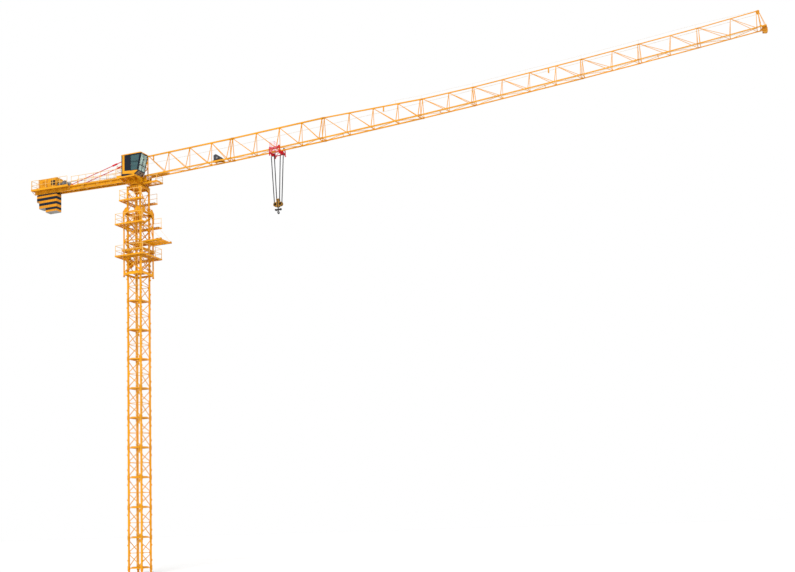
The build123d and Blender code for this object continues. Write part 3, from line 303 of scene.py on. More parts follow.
# ---------------------------------------------------------------------------
# mesh pieces, in real metres
# ---------------------------------------------------------------------------
class Piece:
    def __init__(self, name, body, *mats):
        self.name, self.body, self.mats = name, body, mats
        self.v, self.f, self.m, self.smooth = [], [], [], []

    def add(self, verts, faces, mat=0, smooth=False):
        o = len(self.v)
        self.v += [tuple(p) for p in verts]
        for q in faces:
            self.f.append(tuple(i + o for i in q))
            self.m.append(mat)
            self.smooth.append(smooth)

    def box(self, x0, x1, y0, y1, z0, z1, mat=0):
        v = [(x, y, z) for z in (z0, z1) for y in (y0, y1) for x in (x0, x1)]
        self.add(v, [(0, 2, 3, 1), (4, 5, 7, 6), (0, 1, 5, 4), (2, 6, 7, 3), (0, 4, 6, 2), (1, 3, 7, 5)], mat)

    def hexa(self, v, mat=0):
        """Eight corners in the order of box()."""
        self.add(v, [(0, 2, 3, 1), (4, 5, 7, 6), (0, 1, 5, 4), (2, 6, 7, 3), (0, 4, 6, 2), (1, 3, 7, 5)], mat)

    def slab(self, x0, x1, y0, y1, lo, hi, mat=0):
        v = [(x, y, f(x)) for f in (lo, hi) for y in (y0, y1) for x in (x0, x1)]
        self.hexa(v, mat)

    def frame_of(self, p, q, up=(0, 0, 1)):
        p, q = Vector(p), Vector(q)
        d = (q - p).normalized()
        u = Vector(up)
        x = u.cross(d)
        if x.length < 1e-6:
            x = Vector((1, 0, 0)).cross(d)
            if x.length < 1e-6:
                x = Vector((0, 1, 0)).cross(d)
        x.normalize()
        return p, q, d, x, d.cross(x)

    def profile(self, p, q, outline, up=(0, 0, 1), mat=0, caps=True, smooth=False, outline2=None):
        """A prism between two points; the outline is in (side, up), counter-clockwise."""
        p, q, d, x, y = self.frame_of(p, q, up)
        n = len(outline)
        o2 = outline2 or outline
        v = [p + x * a + y * b for a, b in outline] + [q + x * a + y * b for a, b in o2]
        f = [(i, (i + 1) % n, n + (i + 1) % n, n + i) for i in range(n)]
        self.add(v, f, mat, smooth)
        if caps:
            self.add(v, [tuple(range(n - 1, -1, -1)), tuple(range(n, 2 * n))], mat)

    def bar(self, p, q, w, h=None, up=(0, 0, 1), mat=0, bevel=0.0):
        h = w if h is None else h
        a, b = w / 2, h / 2
        if bevel:
            c = bevel
            o = [(-a + c, -b), (a - c, -b), (a, -b + c), (a, b - c), (a - c, b), (-a + c, b), (-a, b - c), (-a, -b + c)]
        else:
            o = [(-a, -b), (a, -b), (a, b), (-a, b)]
        self.profile(p, q, o, up, mat)

    def rod(self, p, q, d, n=10, mat=0, caps=True, d2=None):
        r, r2 = d / 2, (d if d2 is None else d2) / 2
        o = [(r * math.cos(2 * math.pi * i / n), r * math.sin(2 * math.pi * i / n)) for i in range(n)]
        o2 = [(r2 * math.cos(2 * math.pi * i / n), r2 * math.sin(2 * math.pi * i / n)) for i in range(n)]
        self.profile(p, q, o, (0, 0, 1), mat, caps, True, o2)

    def lathe(self, c, prof, axis="z", n=24, mat=0, smooth=True, closed=False, a0=0.0, a1=2 * math.pi):
        """prof: (radius, along) pairs turned about an axis through c."""
        ax = {"x": (0, 1, 2), "y": (1, 2, 0), "z": (2, 0, 1)}[axis] if isinstance(axis, str) else None
        full = abs(a1 - a0 - 2 * math.pi) < 1e-6
        m = n if full else n + 1
        v = []
        for r, t in prof:
            for i in range(m):
                a = a0 + (a1 - a0) * i / n
                if ax:
                    p = [0.0, 0.0, 0.0]
                    p[ax[0]] = c[ax[0]] + t
                    p[ax[1]] = c[ax[1]] + r * math.cos(a)
                    p[ax[2]] = c[ax[2]] + r * math.sin(a)
                v.append(tuple(p))
        f = []
        k = len(prof)
        for j in range(k if closed else k - 1):
            j2 = (j + 1) % k
            for i in range(n):
                i2 = (i + 1) % m if full else i + 1
                f.append((j * m + i, j * m + i2, j2 * m + i2, j2 * m + i))
        self.add(v, f, mat, smooth)
        if not closed and full:
            for j, rev in ((0, True), (k - 1, False)):
                if prof[j][0] > 1e-6:
                    ids = [j * m + i for i in range(m)]
                    self.add(v[j * m:(j + 1) * m], [tuple(range(m - 1, -1, -1)) if rev else tuple(range(m))], mat)

    def cyl(self, c, r, length, axis, n=20, mat=0, bevel=0.0):
        h = length / 2
        if bevel:
            prof = [(r - bevel, -h), (r, -h + bevel), (r, h - bevel), (r - bevel, h)]
        else:
            prof = [(r, -h), (r, h)]
        ax = {"x": (0, 1, 2), "y": (1, 2, 0), "z": (2, 0, 1)}[axis]
        v = []
        for rr, t in prof:
            for i in range(n):
                a = 2 * math.pi * i / n
                p = [0.0, 0.0, 0.0]
                p[ax[0]] = c[ax[0]] + t
                p[ax[1]] = c[ax[1]] + rr * math.cos(a)
                p[ax[2]] = c[ax[2]] + rr * math.sin(a)
                v.append(tuple(p))
        k = len(prof)
        f = [(j * n + i, j * n + (i + 1) % n, (j + 1) * n + (i + 1) % n, (j + 1) * n + i) for j in range(k - 1) for i in range(n)]
        self.add(v, f, mat, True)
        o = len(self.v) - len(v)
        for ids in (tuple(range(n - 1, -1, -1)), tuple((k - 1) * n + i for i in range(n))):
            self.f.append(tuple(i + o for i in ids))
            self.m.append(mat)
            self.smooth.append(False)

    def plate(self, outline, origin, xd, yd, t, mat=0):
        """A flat plate: outline in (x, y) of its plane, thickness t centred on it."""
        o, x, y = Vector(origin), Vector(xd).normalized(), Vector(yd).normalized()
        n_ = x.cross(y)
        k = len(outline)
        v = [o + x * a + y * b - n_ * t / 2 for a, b in outline] + [o + x * a + y * b + n_ * t / 2 for a, b in outline]
        self.add(v, [(i, (i + 1) % k, k + (i + 1) % k, k + i) for i in range(k)] + [tuple(range(k - 1, -1, -1)), tuple(range(k, 2 * k))], mat)

    def pipe(self, pts, d, n=8, mat=0, closed=False):
        """A round tube along a polyline with mitred corners."""
        P = [Vector(p) for p in pts]
        k = len(P)
        rings = []
        prev = None
        for i in range(k):
            if closed:
                a, b = P[(i - 1) % k], P[(i + 1) % k]
            else:
                a, b = P[max(i - 1, 0)], P[min(i + 1, k - 1)]
            d1 = (P[i] - a).normalized() if (P[i] - a).length > 1e-9 else (b - P[i]).normalized()
            d2 = (b - P[i]).normalized() if (b - P[i]).length > 1e-9 else d1
            t = (d1 + d2).normalized() if (d1 + d2).length > 1e-6 else d1
            if prev is None:
                x = Vector((0, 0, 1)).cross(t)
                if x.length < 1e-4:
                    x = Vector((1, 0, 0)).cross(t)
            else:
                x = prev - t * prev.dot(t)
            x.normalize()
            prev = x
            y = t.cross(x)
            rings.append([P[i] + x * (d / 2 * math.cos(2 * math.pi * j / n)) + y * (d / 2 * math.sin(2 * math.pi * j / n)) for j in range(n)])
        v = [p for r in rings for p in r]
        f = []
        for i in range(k if closed else k - 1):
            i2 = (i + 1) % k
            for j in range(n):
                f.append((i * n + j, i * n + (j + 1) % n, i2 * n + (j + 1) % n, i2 * n + j))
        self.add(v, f, mat, True)
        if not closed:
            self.add(rings[0], [tuple(range(n - 1, -1, -1))], mat)
            self.add(rings[-1], [tuple(range(n))], mat)

    def bolt(self, c, axis, af=0.045, h=0.025, mat=0, sign=1):
        """A hexagon head standing sign * h out of c along an axis."""
        i = "xyz".index(axis)
        j, k = (i + 1) % 3, (i + 2) % 3
        r = af / 2 / math.cos(math.pi / 6)
        v = []
        for t in (0.0, sign * h):
            for q in range(6):
                p = list(c)
                p[i] += t
                p[j] += r * math.cos(math.pi / 3 * q)
                p[k] += r * math.sin(math.pi / 3 * q)
                v.append(tuple(p))
        f = [(q, (q + 1) % 6, 6 + (q + 1) % 6, 6 + q) for q in range(6)] + [(6, 7, 8, 9, 10, 11), (5, 4, 3, 2, 1, 0)]
        if sign < 0:
            f = [tuple(reversed(q)) for q in f]
        self.add(v, f, mat)

    def grating(self, x0, x1, y0, y1, z, h=0.03, pitch=0.075, cross=0.30, t=0.010, along="x", mat=0):
        """Bearing bars with cross bars."""
        a0, a1, b0, b1 = (x0, x1, y0, y1) if along == "x" else (y0, y1, x0, x1)
        nb = max(2, int(round((b1 - b0) / pitch)))
        for i in range(nb + 1):
            b = lerp(b0 + t / 2, b1 - t / 2, i / nb)
            if along == "x":
                self.box(a0, a1, b - t / 2, b + t / 2, z - h, z, mat)
            else:
                self.box(b - t / 2, b + t / 2, a0, a1, z - h, z, mat)
        nc = max(1, int(round((a1 - a0) / cross)))
        for i in range(nc + 1):
            a = lerp(a0 + t / 2, a1 - t / 2, i / nc)
            if along == "x":
                self.box(a - t / 2, a + t / 2, b0, b1, z - h * 0.6, z - 0.004, mat)
            else:
                self.box(b0, b1, a - t / 2, a + t / 2, z - h * 0.6, z - 0.004, mat)

    def done(self, replaces=(), blend=None, turn=None):
        """Makes the object. turn = (point, angle about -Y) tilts it to a slope."""
        me = bpy.data.meshes.new(self.name)
        pts = self.v
        if turn:
            c, a = turn
            ca, sa = math.cos(a), math.sin(a)
            pts = [(c[0] + (x - c[0]) * ca - (z - c[2]) * sa, y, c[2] + (x - c[0]) * sa + (z - c[2]) * ca) for x, y, z in pts]
        me.from_pydata([(x * S, y * S, (z + BASE) * S) for x, y, z in pts], [], self.f)
        me.polygons.foreach_set("material_index", self.m)
        me.polygons.foreach_set("use_smooth", self.smooth)
        for m in self.mats:
            me.materials.append(m)
        me.validate()
        me.update()
        o = bpy.data.objects.new(self.name, me)
        bpy.context.scene.collection.objects.link(o)
        if blend:
            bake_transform(o)
        else:
            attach(o, self.body)
        if replaces:
            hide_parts(*replaces)
        return o


def dress(node, *mats):
    """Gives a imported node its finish."""
    me = NODE[node].data
    me.materials.clear()
    for m in mats:
        me.materials.append(m)
    for p in me.polygons:
        p.material_index = 0


# ---------------------------------------------------------------------------
# camera, light and floor
# ---------------------------------------------------------------------------
cam_data = bpy.data.cameras.new("camera")
cam = bpy.data.objects.new("camera", cam_data)
bpy.context.scene.collection.objects.link(cam)
cam_data.sensor_fit = "HORIZONTAL"
cam_data.sensor_width = 36.0
cam_data.lens = 48.526
cam_data.shift_y = 0.1585
cam_data.clip_start, cam_data.clip_end = 0.05, 400.0
yaw, pitch, roll = math.radians(111.994), math.radians(6.058), math.radians(-1.7215)
fw = Vector((math.cos(yaw) * math.cos(pitch), math.sin(yaw) * math.cos(pitch), math.sin(pitch)))
rt = Vector((math.sin(yaw), -math.cos(yaw), 0.0))
up = rt.cross(fw)
r2 = rt * math.cos(roll) + up * math.sin(roll)
u2 = -rt * math.sin(roll) + up * math.cos(roll)
cam.matrix_world = Matrix(((r2.x, u2.x, -fw.x, 6.4533), (r2.y, u2.y, -fw.y, -9.0085), (r2.z, u2.z, -fw.z, 0.4062), (0, 0, 0, 1)))
bpy.context.scene.camera = cam

world = bpy.data.worlds.new("studio")
bpy.context.scene.world = world
world.use_nodes = True
wt = world.node_tree
wt.nodes.clear()
wo = wt.nodes.new("ShaderNodeOutputWorld")
wb = wt.nodes.new("ShaderNodeBackground")
wb.inputs["Color"].default_value = (1, 1, 1, 1)
wb.inputs["Strength"].default_value = 1.0
wt.links.new(wb.outputs[0], wo.inputs["Surface"])


def lamp(name, kind, direction, strength, angle, color=(1, 1, 1)):
    d = bpy.data.lights.new(name, kind)
    d.energy = strength
    d.color = color
    d.angle = math.radians(angle)
    o = bpy.data.objects.new(name, d)
    bpy.context.scene.collection.objects.link(o)
    o.rotation_mode = "QUATERNION"
    o.rotation_quaternion = Vector(direction).to_track_quat("Z", "Y")
    o.location = Vector(direction) * 10
    return o


lamp("key", "SUN", (0.35, -0.80, 0.62), 1.75, 14, (1.0, 0.985, 0.96))

m_floor, ft, fb = _nodes("floor_paper")
ftc = ft.nodes.new("ShaderNodeTexCoord")
ft.links.new(_ramp(ft, _noise(ft, ftc.outputs["Object"], 0.6, 3.0), [(0.3, (0.78, 0.78, 0.78)), (0.7, (0.82, 0.82, 0.82))]), fb.inputs["Base Color"])
fb.inputs["Roughness"].default_value = 0.95
fb.inputs["Specular IOR Level"].default_value = 0.1
me = bpy.data.meshes.new("floor")
me.from_pydata([(-60, -60, -0.0005), (60, -60, -0.0005), (60, 60, -0.0005), (-60, 60, -0.0005)], [], [(0, 1, 2, 3)])
me.materials.append(m_floor)
floor = bpy.data.objects.new("floor", me)
bpy.context.scene.collection.objects.link(floor)

bpy.context.scene.view_settings.view_transform = "Standard"
bpy.context.scene.view_settings.look = "None"

# ---------------------------------------------------------------------------
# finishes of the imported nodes
# ---------------------------------------------------------------------------
for n in NODE:
    dress(n, m_yellow)
# the darker crane yellow given below paints shade on the climbing gear, lower slewing ring, foundation frame and rest
# platforms
for n, m in (("climbing_cylinder", m_yellow_shade), ("climbing_traverse", m_yellow_shade), ("slewing_ring_lower", m_yellow_shade), ("cab_body", m_navy),
             ("cab_glass", m_glass_side_shade), ("cab_roof", m_trim), ("trolley_winch", m_dark), ("tie_rods", m_red), ("hoist_winch", m_dark),
             ("hoist_drum", m_dark), ("counterweights", m_navy), ("trolley_frame", m_red), ("trolley_wheels", m_dark),
             ("trolley_basket", m_red_pale), ("hoist_ropes", m_rope), ("hook_block", m_block), ("hook_sheaves", m_dark), ("hook", m_black),
             ("platform_rails", m_yellow_pale), ("counter_jib_rails", m_yellow_pale), ("mast_ladder", m_yellow_pale),
             ("foundation_frame", m_yellow_shade), ("mast_rest_platforms", m_yellow_shade)):
    dress(n, m)

# the front pane gets a pale copy of the glass as a painted reflection, the sides a dark copy as painted shade of the
# cab's inside
me = NODE["cab_glass"].data
me.materials.append(m_glass_front_reflection)
for q in me.polygons:
    if abs(q.normal.x) > 0.5:
        q.material_index = 1

# ---------------------------------------------------------------------------
# mast
# ---------------------------------------------------------------------------
SIDES = {"cab": ((0, -1, 0), (1, 0, 0)), "jib": ((1, 0, 0), (0, 1, 0)), "far": ((0, 1, 0), (-1, 0, 0)), "rear": ((-1, 0, 0), (0, -1, 0))}
CORNERS = ((-1, -1), (1, -1), (1, 1), (-1, 1))
UP = (0, 0, 1)
HL = LEG_W / 2
INN = LEG - HL


def side_point(side, off, u, z):
    n, x = SIDES[side]
    return (n[0] * off + x[0] * u, n[1] * off + x[1] * u, z)


p = Piece("mast_fishplates", MAST, m_yellow, m_yellow_shade)
for k in range(13):
    z = SECTION * k
    for sx, sy in CORNERS:
        cx, cy = sx * LEG, sy * LEG
        x0, x1 = sorted((cx + sx * HL, cx + sx * (HL + 0.022)))
        p.hexa([(x, y, zz) for zz in (z - 0.23, z + 0.23) for y in (cy - 0.10, cy + 0.10) for x in (x0, x1)])
        y0, y1 = sorted((cy + sy * HL, cy + sy * (HL + 0.022)))
        p.hexa([(x, y, zz) for zz in (z - 0.23, z + 0.23) for y in (y0, y1) for x in (cx - 0.10, cx + 0.10)])
        for a in (-0.055, 0.055):
            for b in (-0.17, -0.07, 0.07, 0.17):
                p.bolt((cx + sx * (HL + 0.022), cy + a, z + b), "x", 0.042, 0.022, 1, sx)
                p.bolt((cx + a, cy + sy * (HL + 0.022), z + b), "y", 0.042, 0.022, 1, sy)
        # butt straps on the inner faces
        p.box(cx - 0.09, cx + 0.09, min(cy - sy * HL, cy - sy * (HL + 0.012)), max(cy - sy * HL, cy - sy * (HL + 0.012)), z - 0.16, z + 0.16)
        # flange line where two sections meet
        p.box(cx - HL - 0.006, cx + HL + 0.006, cy - HL - 0.006, cy + HL + 0.006, z - 0.012, z + 0.012, 1)
p.done()

p = Piece("mast_gussets", MAST, m_yellow, m_yellow_shade)
for side in SIDES:
    n, xd = SIDES[side]
    for k in range(13):
        z = SECTION * k
        spots = [(1, z + 0.20, 0.15)]
        if k < 12:
            spots += [(-1, z + 1.50, 0.24), (1, z + 2.74, 0.15)]
        for s, zc, h in spots:
            o = side_point(side, LEG + 0.032, 0, 0)
            out = [(s * INN, zc - h), (s * INN, zc + h), (s * (INN - 0.17), zc + 0.05), (s * (INN - 0.17), zc - 0.05)]
            if s < 0:
                out.reverse()
            p.plate(out, o, xd, UP, 0.014)
for k in range(25):
    # climbing lugs on the legs, two in a section
    z = 0.75 + 1.5 * k
    if z < 37:
        for sx, sy in CORNERS:
            o = (sx * (LEG + HL), sy * LEG, z)
            p.plate([(0, -0.11), (0.075, -0.05), (0.085, 0.05), (0.05, 0.09), (0, 0.11)], o, (sx, 0, 0), UP, 0.11)
            p.bolt((sx * (LEG + HL) + sx * 0.06, sy * LEG - 0.055, z), "y", 0.05, 0.02, 1, -1)
p.done()

p = Piece("mast_ladder_rungs", MAST, m_yellow_pale, m_bolt)
z = 0.25
while z < 37.95:
    p.rod((-0.50, 0.15, z), (-0.50, 0.50, z), 0.026, 6)
    z += 0.28
for k in range(1, 12):
    for y in (0.15, 0.50):
        p.box(-0.53, -0.47, y - 0.03, y + 0.03, SECTION * k + 0.30, SECTION * k + 0.42, 0)
        p.bolt((-0.47, y, SECTION * k + 0.36), "x", 0.03, 0.012, 1)
p.done()

p = Piece("mast_rest_gratings", MAST, m_yellow, m_grate_shade)
E1 = LEG - 0.025
for k in range(12):
    z = SECTION * k
    # the beam across the plan diagonal, a channel with tapered ends
    a, b = Vector((-0.62, -0.62, z + 0.10)), Vector((0.62, 0.62, z + 0.10))
    d = (b - a).normalized()
    for t0, t1, h0, h1 in ((0.0, 0.14, 0.05, 0.12), (0.14, 0.86, 0.12, 0.12), (0.86, 1.0, 0.12, 0.05)):
        q0, q1 = a.lerp(b, t0), a.lerp(b, t1)
        p.profile(q0, q1, [(-0.06, -h0 / 2), (0.06, -h0 / 2), (0.06, h0 / 2), (-0.06, h0 / 2)], outline2=[(-0.06, -h1 / 2), (0.06, -h1 / 2), (0.06, h1 / 2), (-0.06, h1 / 2)])
    # edge angles
    p.box(-E1, -E1 + 0.045, -0.63, 0.63, z + 0.002, z + 0.042)
    p.box(-0.63, 0.63, E1 - 0.045, E1, z + 0.002, z + 0.042)
    # hatch frame
    for x in (-0.66, -0.13):
        p.box(x, x + 0.03, 0.06, 0.60, z + 0.002, z + 0.045)
    for y in (0.06, 0.57):
        p.box(-0.66, -0.10, y, y + 0.03, z + 0.002, z + 0.045)
    # bearing bars along X, cut at the diagonal and at the hatch
    y = -0.58
    while y < 0.70:
        x1 = min(y - 0.02, 0.62)
        if x1 > -E1 + 0.06:
            if 0.05 < y < 0.61:
                p.box(-E1 + 0.03, -0.66, y - 0.006, y + 0.006, z + 0.006, z + 0.038, 1)
                if x1 > -0.10:
                    p.box(-0.10, x1, y - 0.006, y + 0.006, z + 0.006, z + 0.038, 1)
            else:
                p.box(-E1 + 0.03, x1, y - 0.006, y + 0.006, z + 0.006, z + 0.038, 1)
        y += 0.066
    for x in (-0.05, 0.20, 0.42):
        p.box(x - 0.006, x + 0.006, x + 0.03, E1 - 0.03, z + 0.010, z + 0.034, 1)
p.done(replaces=["mast_rest_platforms"])

# ---------------------------------------------------------------------------
# climbing cage
# ---------------------------------------------------------------------------
CW = CAGE_W / 2
CI = CAGE - CW


def deck(name, z, half, hole, open_front, slot_box=None):
    """Grating in an angle frame on two pairs of beams, with a toe board outside."""
    p = Piece(name + "_grating", MAST, m_yellow, m_grate_shade, m_yellow_shade)
    t, e = 0.10, 0.05
    xf = half
    for s in (-1, 1):
        y0, y1 = sorted((s * half, s * (half - e)))
        p.box(-half, half, y0, y1, z - t, z, 0)
        ty0, ty1 = sorted((s * half, s * (half - 0.012)))
        p.box(-half, half, ty0, ty1, z, z + 0.04, 0)
        # inner frame along the hole
        y0, y1 = sorted((s * hole, s * (hole + 0.04)))
        p.box(-half + 0.02, half - 0.02, y0, y1, z - t, z - 0.002, 2)
    p.box(-half, -half + e, -half + e, half - e, z - t, z, 0)
    p.box(-half, -half + 0.012, -half + e, half - e, z, z + 0.04, 0)
    p.box(-hole - 0.04, -hole, -half + 0.02, half - 0.02, z - t, z - 0.002, 2)
    if open_front:
        for s in (-1, 1):
            y0, y1 = sorted((s * hole, s * (half - e)))
            p.box(half - e, half, y0, y1, z - t, z, 0)
            p.box(hole, hole + 0.04, y0, y1, z - t, z - 0.002, 2)
    else:
        p.box(half - e, half, -half + e, half - e, z - t, z, 0)
        p.box(half - 0.012, half, -half + e, half - e, z, z + 0.04, 0)
        p.box(hole, hole + 0.04, -half + 0.02, half - 0.02, z - t, z - 0.002, 2)
    # joists under the grating, in the darker yellow that paints their shade
    for u in (-0.75, 0.0, 0.75):
        for s in (-1, 1):
            y0, y1 = sorted((s * (hole + 0.04), s * (half - e)))
            p.box(u - 0.02, u + 0.02, y0, y1, z - t + 0.01, z - 0.036, 2)
            x0, x1 = sorted((s * (hole + 0.04), s * (half - e)))
            if s < 0 or not open_front:
                p.box(x0, x1, u - 0.02, u + 0.02, z - t + 0.01, z - 0.036, 2)
    g = dict(z=z, h=0.026, pitch=0.115, cross=0.42, t=0.010, mat=1)
    for s in (-1, 1):
        y0, y1 = sorted((s * hole, s * (half - e)))
        p.grating(-half + e, half - e, y0, y1, along="x", **g)
    if slot_box:
        p.grating(-half + e, -hole, -hole, slot_box[0], along="y", **g)
        p.grating(-half + e, -hole, slot_box[1], hole, along="y", **g)
    else:
        p.grating(-half + e, -hole, -hole, hole, along="y", **g)
    if not open_front:
        p.grating(hole, half - e, -hole, hole, along="y", **g)
    p.done(replaces=[name])


deck("cage_lower_platform", *PLATFORMS["cage_lower_platform"], False, (0.04, 0.36))
deck("cage_upper_platform", *PLATFORMS["cage_upper_platform"], True)
deck("mast_top_platform", *PLATFORMS["mast_top_platform"], True)

p = Piece("rail_fittings", MAST, m_yellow_pale, m_bolt)
for node, (z, half, hole) in PLATFORMS.items():
    e = half - 0.03
    n = e - 0.04
    for side in SIDES:
        if side == "jib" and node != "cage_lower_platform":
            continue
        for u in (-n, -n / 3, n / 3, n):
            c = side_point(side, e - 0.035, u, z)
            p.box(c[0] - 0.04, c[0] + 0.04, c[1] - 0.04, c[1] + 0.04, z, z + 0.012)
            for q in (-1, 1):
                p.bolt((c[0] + 0.025 * q, c[1] + 0.02 * q, z + 0.012), "z", 0.024, 0.012, 1)
            c = side_point(side, e, u, z)
            p.box(c[0] - 0.026, c[0] + 0.026, c[1] - 0.026, c[1] + 0.026, z + 0.14, z + 0.20)
            p.box(c[0] - 0.024, c[0] + 0.024, c[1] - 0.024, c[1] + 0.024, z + 0.525, z + 0.575)
            p.box(c[0] - 0.022, c[0] + 0.022, c[1] - 0.022, c[1] + 0.022, z + RAIL_H - 0.01, z + RAIL_H + 0.021)
p.done()

p = Piece("cage_fittings", MAST, m_yellow, m_yellow_shade, m_yellow_shade, m_yellow_shade)
for side in SIDES:
    n, xd = SIDES[side]
    for zc in (29.98, 31.45, 33.2, 34.75, 36.08):
        if side == "jib" and zc == 33.2:
            continue
        for s in (-1, 1):
            o = side_point(side, CAGE + 0.030, 0, 0)
            out = [(s * CI, zc - 0.17), (s * CI, zc + 0.17), (s * (CI - 0.16), zc + 0.05), (s * (CI - 0.16), zc - 0.05)]
            if s < 0:
                out.reverse()
            p.plate(out, o, xd, UP, 0.012)
            for q in (-0.08, 0.0, 0.08):
                c = side_point(side, CAGE + 0.036, s * (CI - 0.05), zc + q)
                p.bolt(c, "y" if n[1] else "x", 0.028, 0.014, 1, n[1] or n[0])
# guide rollers between the cage and the mast legs
for z in (30.15, 32.2, 35.2):
    for sx, sy in CORNERS:
        p.cyl((sx * 0.912, sy * (LEG - 0.02), z), 0.052, 0.10, "y", 16, 2, 0.006)
        p.box(min(sx * 0.90, sx * 0.985), max(sx * 0.90, sx * 0.985), sy * LEG - 0.09, sy * LEG - 0.075, z - 0.05, z + 0.05, 3)
        p.box(min(sx * 0.90, sx * 0.985), max(sx * 0.90, sx * 0.985), sy * LEG + 0.035, sy * LEG + 0.05, z - 0.05, z + 0.05, 3)
# gusset edges and webs below the top ring
gp = CAGE + CW + 0.03
gout = [(1.09, 35.30), (1.09, 36.28), (0.78, 36.64), (0.62, 36.64), (0.38, 36.34), (0.42, 36.20), (0.70, 36.06), (0.90, 35.78), (0.99, 35.30)]
for side in SIDES:
    n, xd = SIDES[side]
    ax = "y" if n[1] else "x"
    for s in (-1, 1):
        for i in range(len(gout)):
            a, b = gout[i], gout[(i + 1) % len(gout)]
            p.bar(side_point(side, gp + 0.012, s * a[0], a[1]), side_point(side, gp + 0.012, s * b[0], b[1]), 0.028, 0.028, up=n)
        for a, b in (((1.06, 36.26), (0.80, 36.02)), ((0.76, 36.60), (0.70, 36.10)), ((0.96, 35.5), (1.07, 35.5))):
            p.bar(side_point(side, gp + 0.008, s * a[0], a[1]), side_point(side, gp + 0.008, s * b[0], b[1]), 0.02, 0.02, up=n, mat=3)
        for u, z in ((1.04, 35.40), (1.04, 35.70), (1.04, 35.95), (1.04, 36.15), (0.93, 36.24), (0.80, 36.24)):
            p.bolt(side_point(side, gp, s * u, z), ax, 0.04, 0.02, 1, n[1] or n[0])
    # bolts along the rings
    for z, off in ((29.77, CAGE + CW), (32.20, CAGE + CW + 0.07)):
        for u in (-0.90, -0.82, 0.82, 0.90):
            p.bolt(side_point(side, off, u, z), ax, 0.045, 0.022, 1, n[1] or n[0])
    # flanges of the middle ring
    for z in (32.085, 32.315):
        p.bar(side_point(side, CAGE + CW + 0.088, -1.16, z), side_point(side, CAGE + CW + 0.088, 1.16, z), 0.03, 0.012, up=UP)
    for u in (-0.7, -0.35, 0.0, 0.35, 0.7):
        p.bar(side_point(side, CAGE + CW + 0.082, u, 32.10), side_point(side, CAGE + CW + 0.082, u, 32.30), 0.010, 0.022, up=n)
# shoes at the leg feet
for sx, sy in CORNERS:
    p.box(sx * CAGE - 0.075, sx * CAGE + 0.075, sy * CAGE - 0.075, sy * CAGE + 0.075, 29.45, 29.47, 3)
    for a in (-1, 1):
        p.box(sx * CAGE - 0.07, sx * CAGE + 0.07, sy * CAGE + a * 0.057 - 0.004, sy * CAGE + a * 0.057 + 0.004, 29.47, 29.60, 3)
p.done()

IB_Z, IB_Y = 32.93, 0.87
p = Piece("introduction_gear", MAST, m_yellow, m_yellow_shade, m_yellow_pale)
# light bars between the two beams, and three cross rollers that carry them
for q in range(4):
    y = -0.51 + 0.34 * q
    for dy in (-0.028, 0.022):
        p.box(1.18, 3.33, y + dy, y + dy + 0.006, IB_Z - 0.045, IB_Z + 0.015, 0)
    p.box(1.18, 3.33, y - 0.028, y + 0.028, IB_Z + 0.015, IB_Z + 0.021, 0)
for x in (1.62, 2.40, 3.16):
    p.cyl((x, 0, IB_Z + 0.060), 0.028, 1.56, "y", 10, 1)
    for s in (-1, 1):
        p.box(x - 0.03, x + 0.03, s * 0.795 - 0.010, s * 0.795 + 0.010, IB_Z + 0.02, IB_Z + 0.10, 0)
for s in (-1, 1):
    for z in (-0.08, 0.066):
        p.box(1.16, 3.35, s * IB_Y - 0.065, s * IB_Y + 0.065, IB_Z + z, IB_Z + z + 0.014, 0)
    p.box(3.35, 3.40, s * IB_Y - 0.075, s * IB_Y + 0.075, IB_Z - 0.10, IB_Z + 0.10, 1)
    p.box(3.28, 3.35, s * IB_Y - 0.06, s * IB_Y + 0.06, IB_Z + 0.08, IB_Z + 0.13, 1)
    # trolley that carries a new mast section along the beam
    p.box(2.75, 3.05, s * IB_Y - 0.08, s * IB_Y + 0.08, IB_Z + 0.085, IB_Z + 0.115, 1)
    for x in (2.80, 3.00):
        p.cyl((x, s * (IB_Y + 0.09), IB_Z + 0.095), 0.030, 0.03, "y", 12, 0)
    # hanger stays from the upper platform's arms
    p.rod((1.66, s * 1.20, 34.82), (3.24, s * (IB_Y + 0.03), IB_Z + 0.08), 0.020, 8, 2)
    p.box(1.62, 1.70, s * 1.20 - 0.03, s * 1.20 + 0.03, 34.74, 34.84, 1)
    p.cyl((3.24, s * (IB_Y + 0.03), IB_Z + 0.10), 0.035, 0.05, "y", 10, 1)
p.done()

CX_, CY_ = -1.17, 0.20
p = Piece("climbing_hydraulics", MAST, m_yellow_shade, m_steel, m_hose, m_yellow_shade)
p.cyl((CX_, CY_, 31.56), 0.098, 0.06, "z", 20, 0, 0.008)
p.cyl((CX_, CY_, 31.99), 0.098, 0.06, "z", 20, 0, 0.008)
p.cyl((CX_, CY_, 31.36), 0.056, 0.14, "z", 16, 1)
p.box(CX_ - 0.05, CX_ + 0.05, CY_ - 0.13, CY_ - 0.08, 31.62, 31.92, 0)
for z in (31.66, 31.88):
    p.cyl((CX_, CY_ - 0.14, z), 0.02, 0.05, "y", 8, 1)
p.pipe([(CX_, CY_ - 0.165, 31.66), (CX_, CY_ - 0.24, 31.62), (CX_, CY_ - 0.30, 31.42), (CX_, CY_ - 0.28, 31.22), (CX_, CY_ - 0.26, 31.17)], 0.028, 8, 2)
p.pipe([(CX_, CY_ - 0.165, 31.88), (CX_, CY_ - 0.30, 31.84), (CX_ - 0.02, CY_ - 0.38, 31.5), (CX_ - 0.02, CY_ - 0.36, 31.24), (CX_ - 0.02, CY_ - 0.34, 31.17)], 0.028, 8, 2)
for y in (-0.40, -0.20, 0.0, 0.20, 0.40):
    p.box(-1.268, -1.26, CY_ + y - 0.012, CY_ + y + 0.012, 30.88, 31.14, 3)
for y in (-0.33, 0.33):
    p.cyl((-1.268, CY_ + y, 31.01), 0.05, 0.02, "x", 14, 1)
for s in (-1, 1):
    p.bolt((-1.24, CY_ + s * 0.16, 30.80), "x", 0.04, 0.02, 1, -1)
p.done()

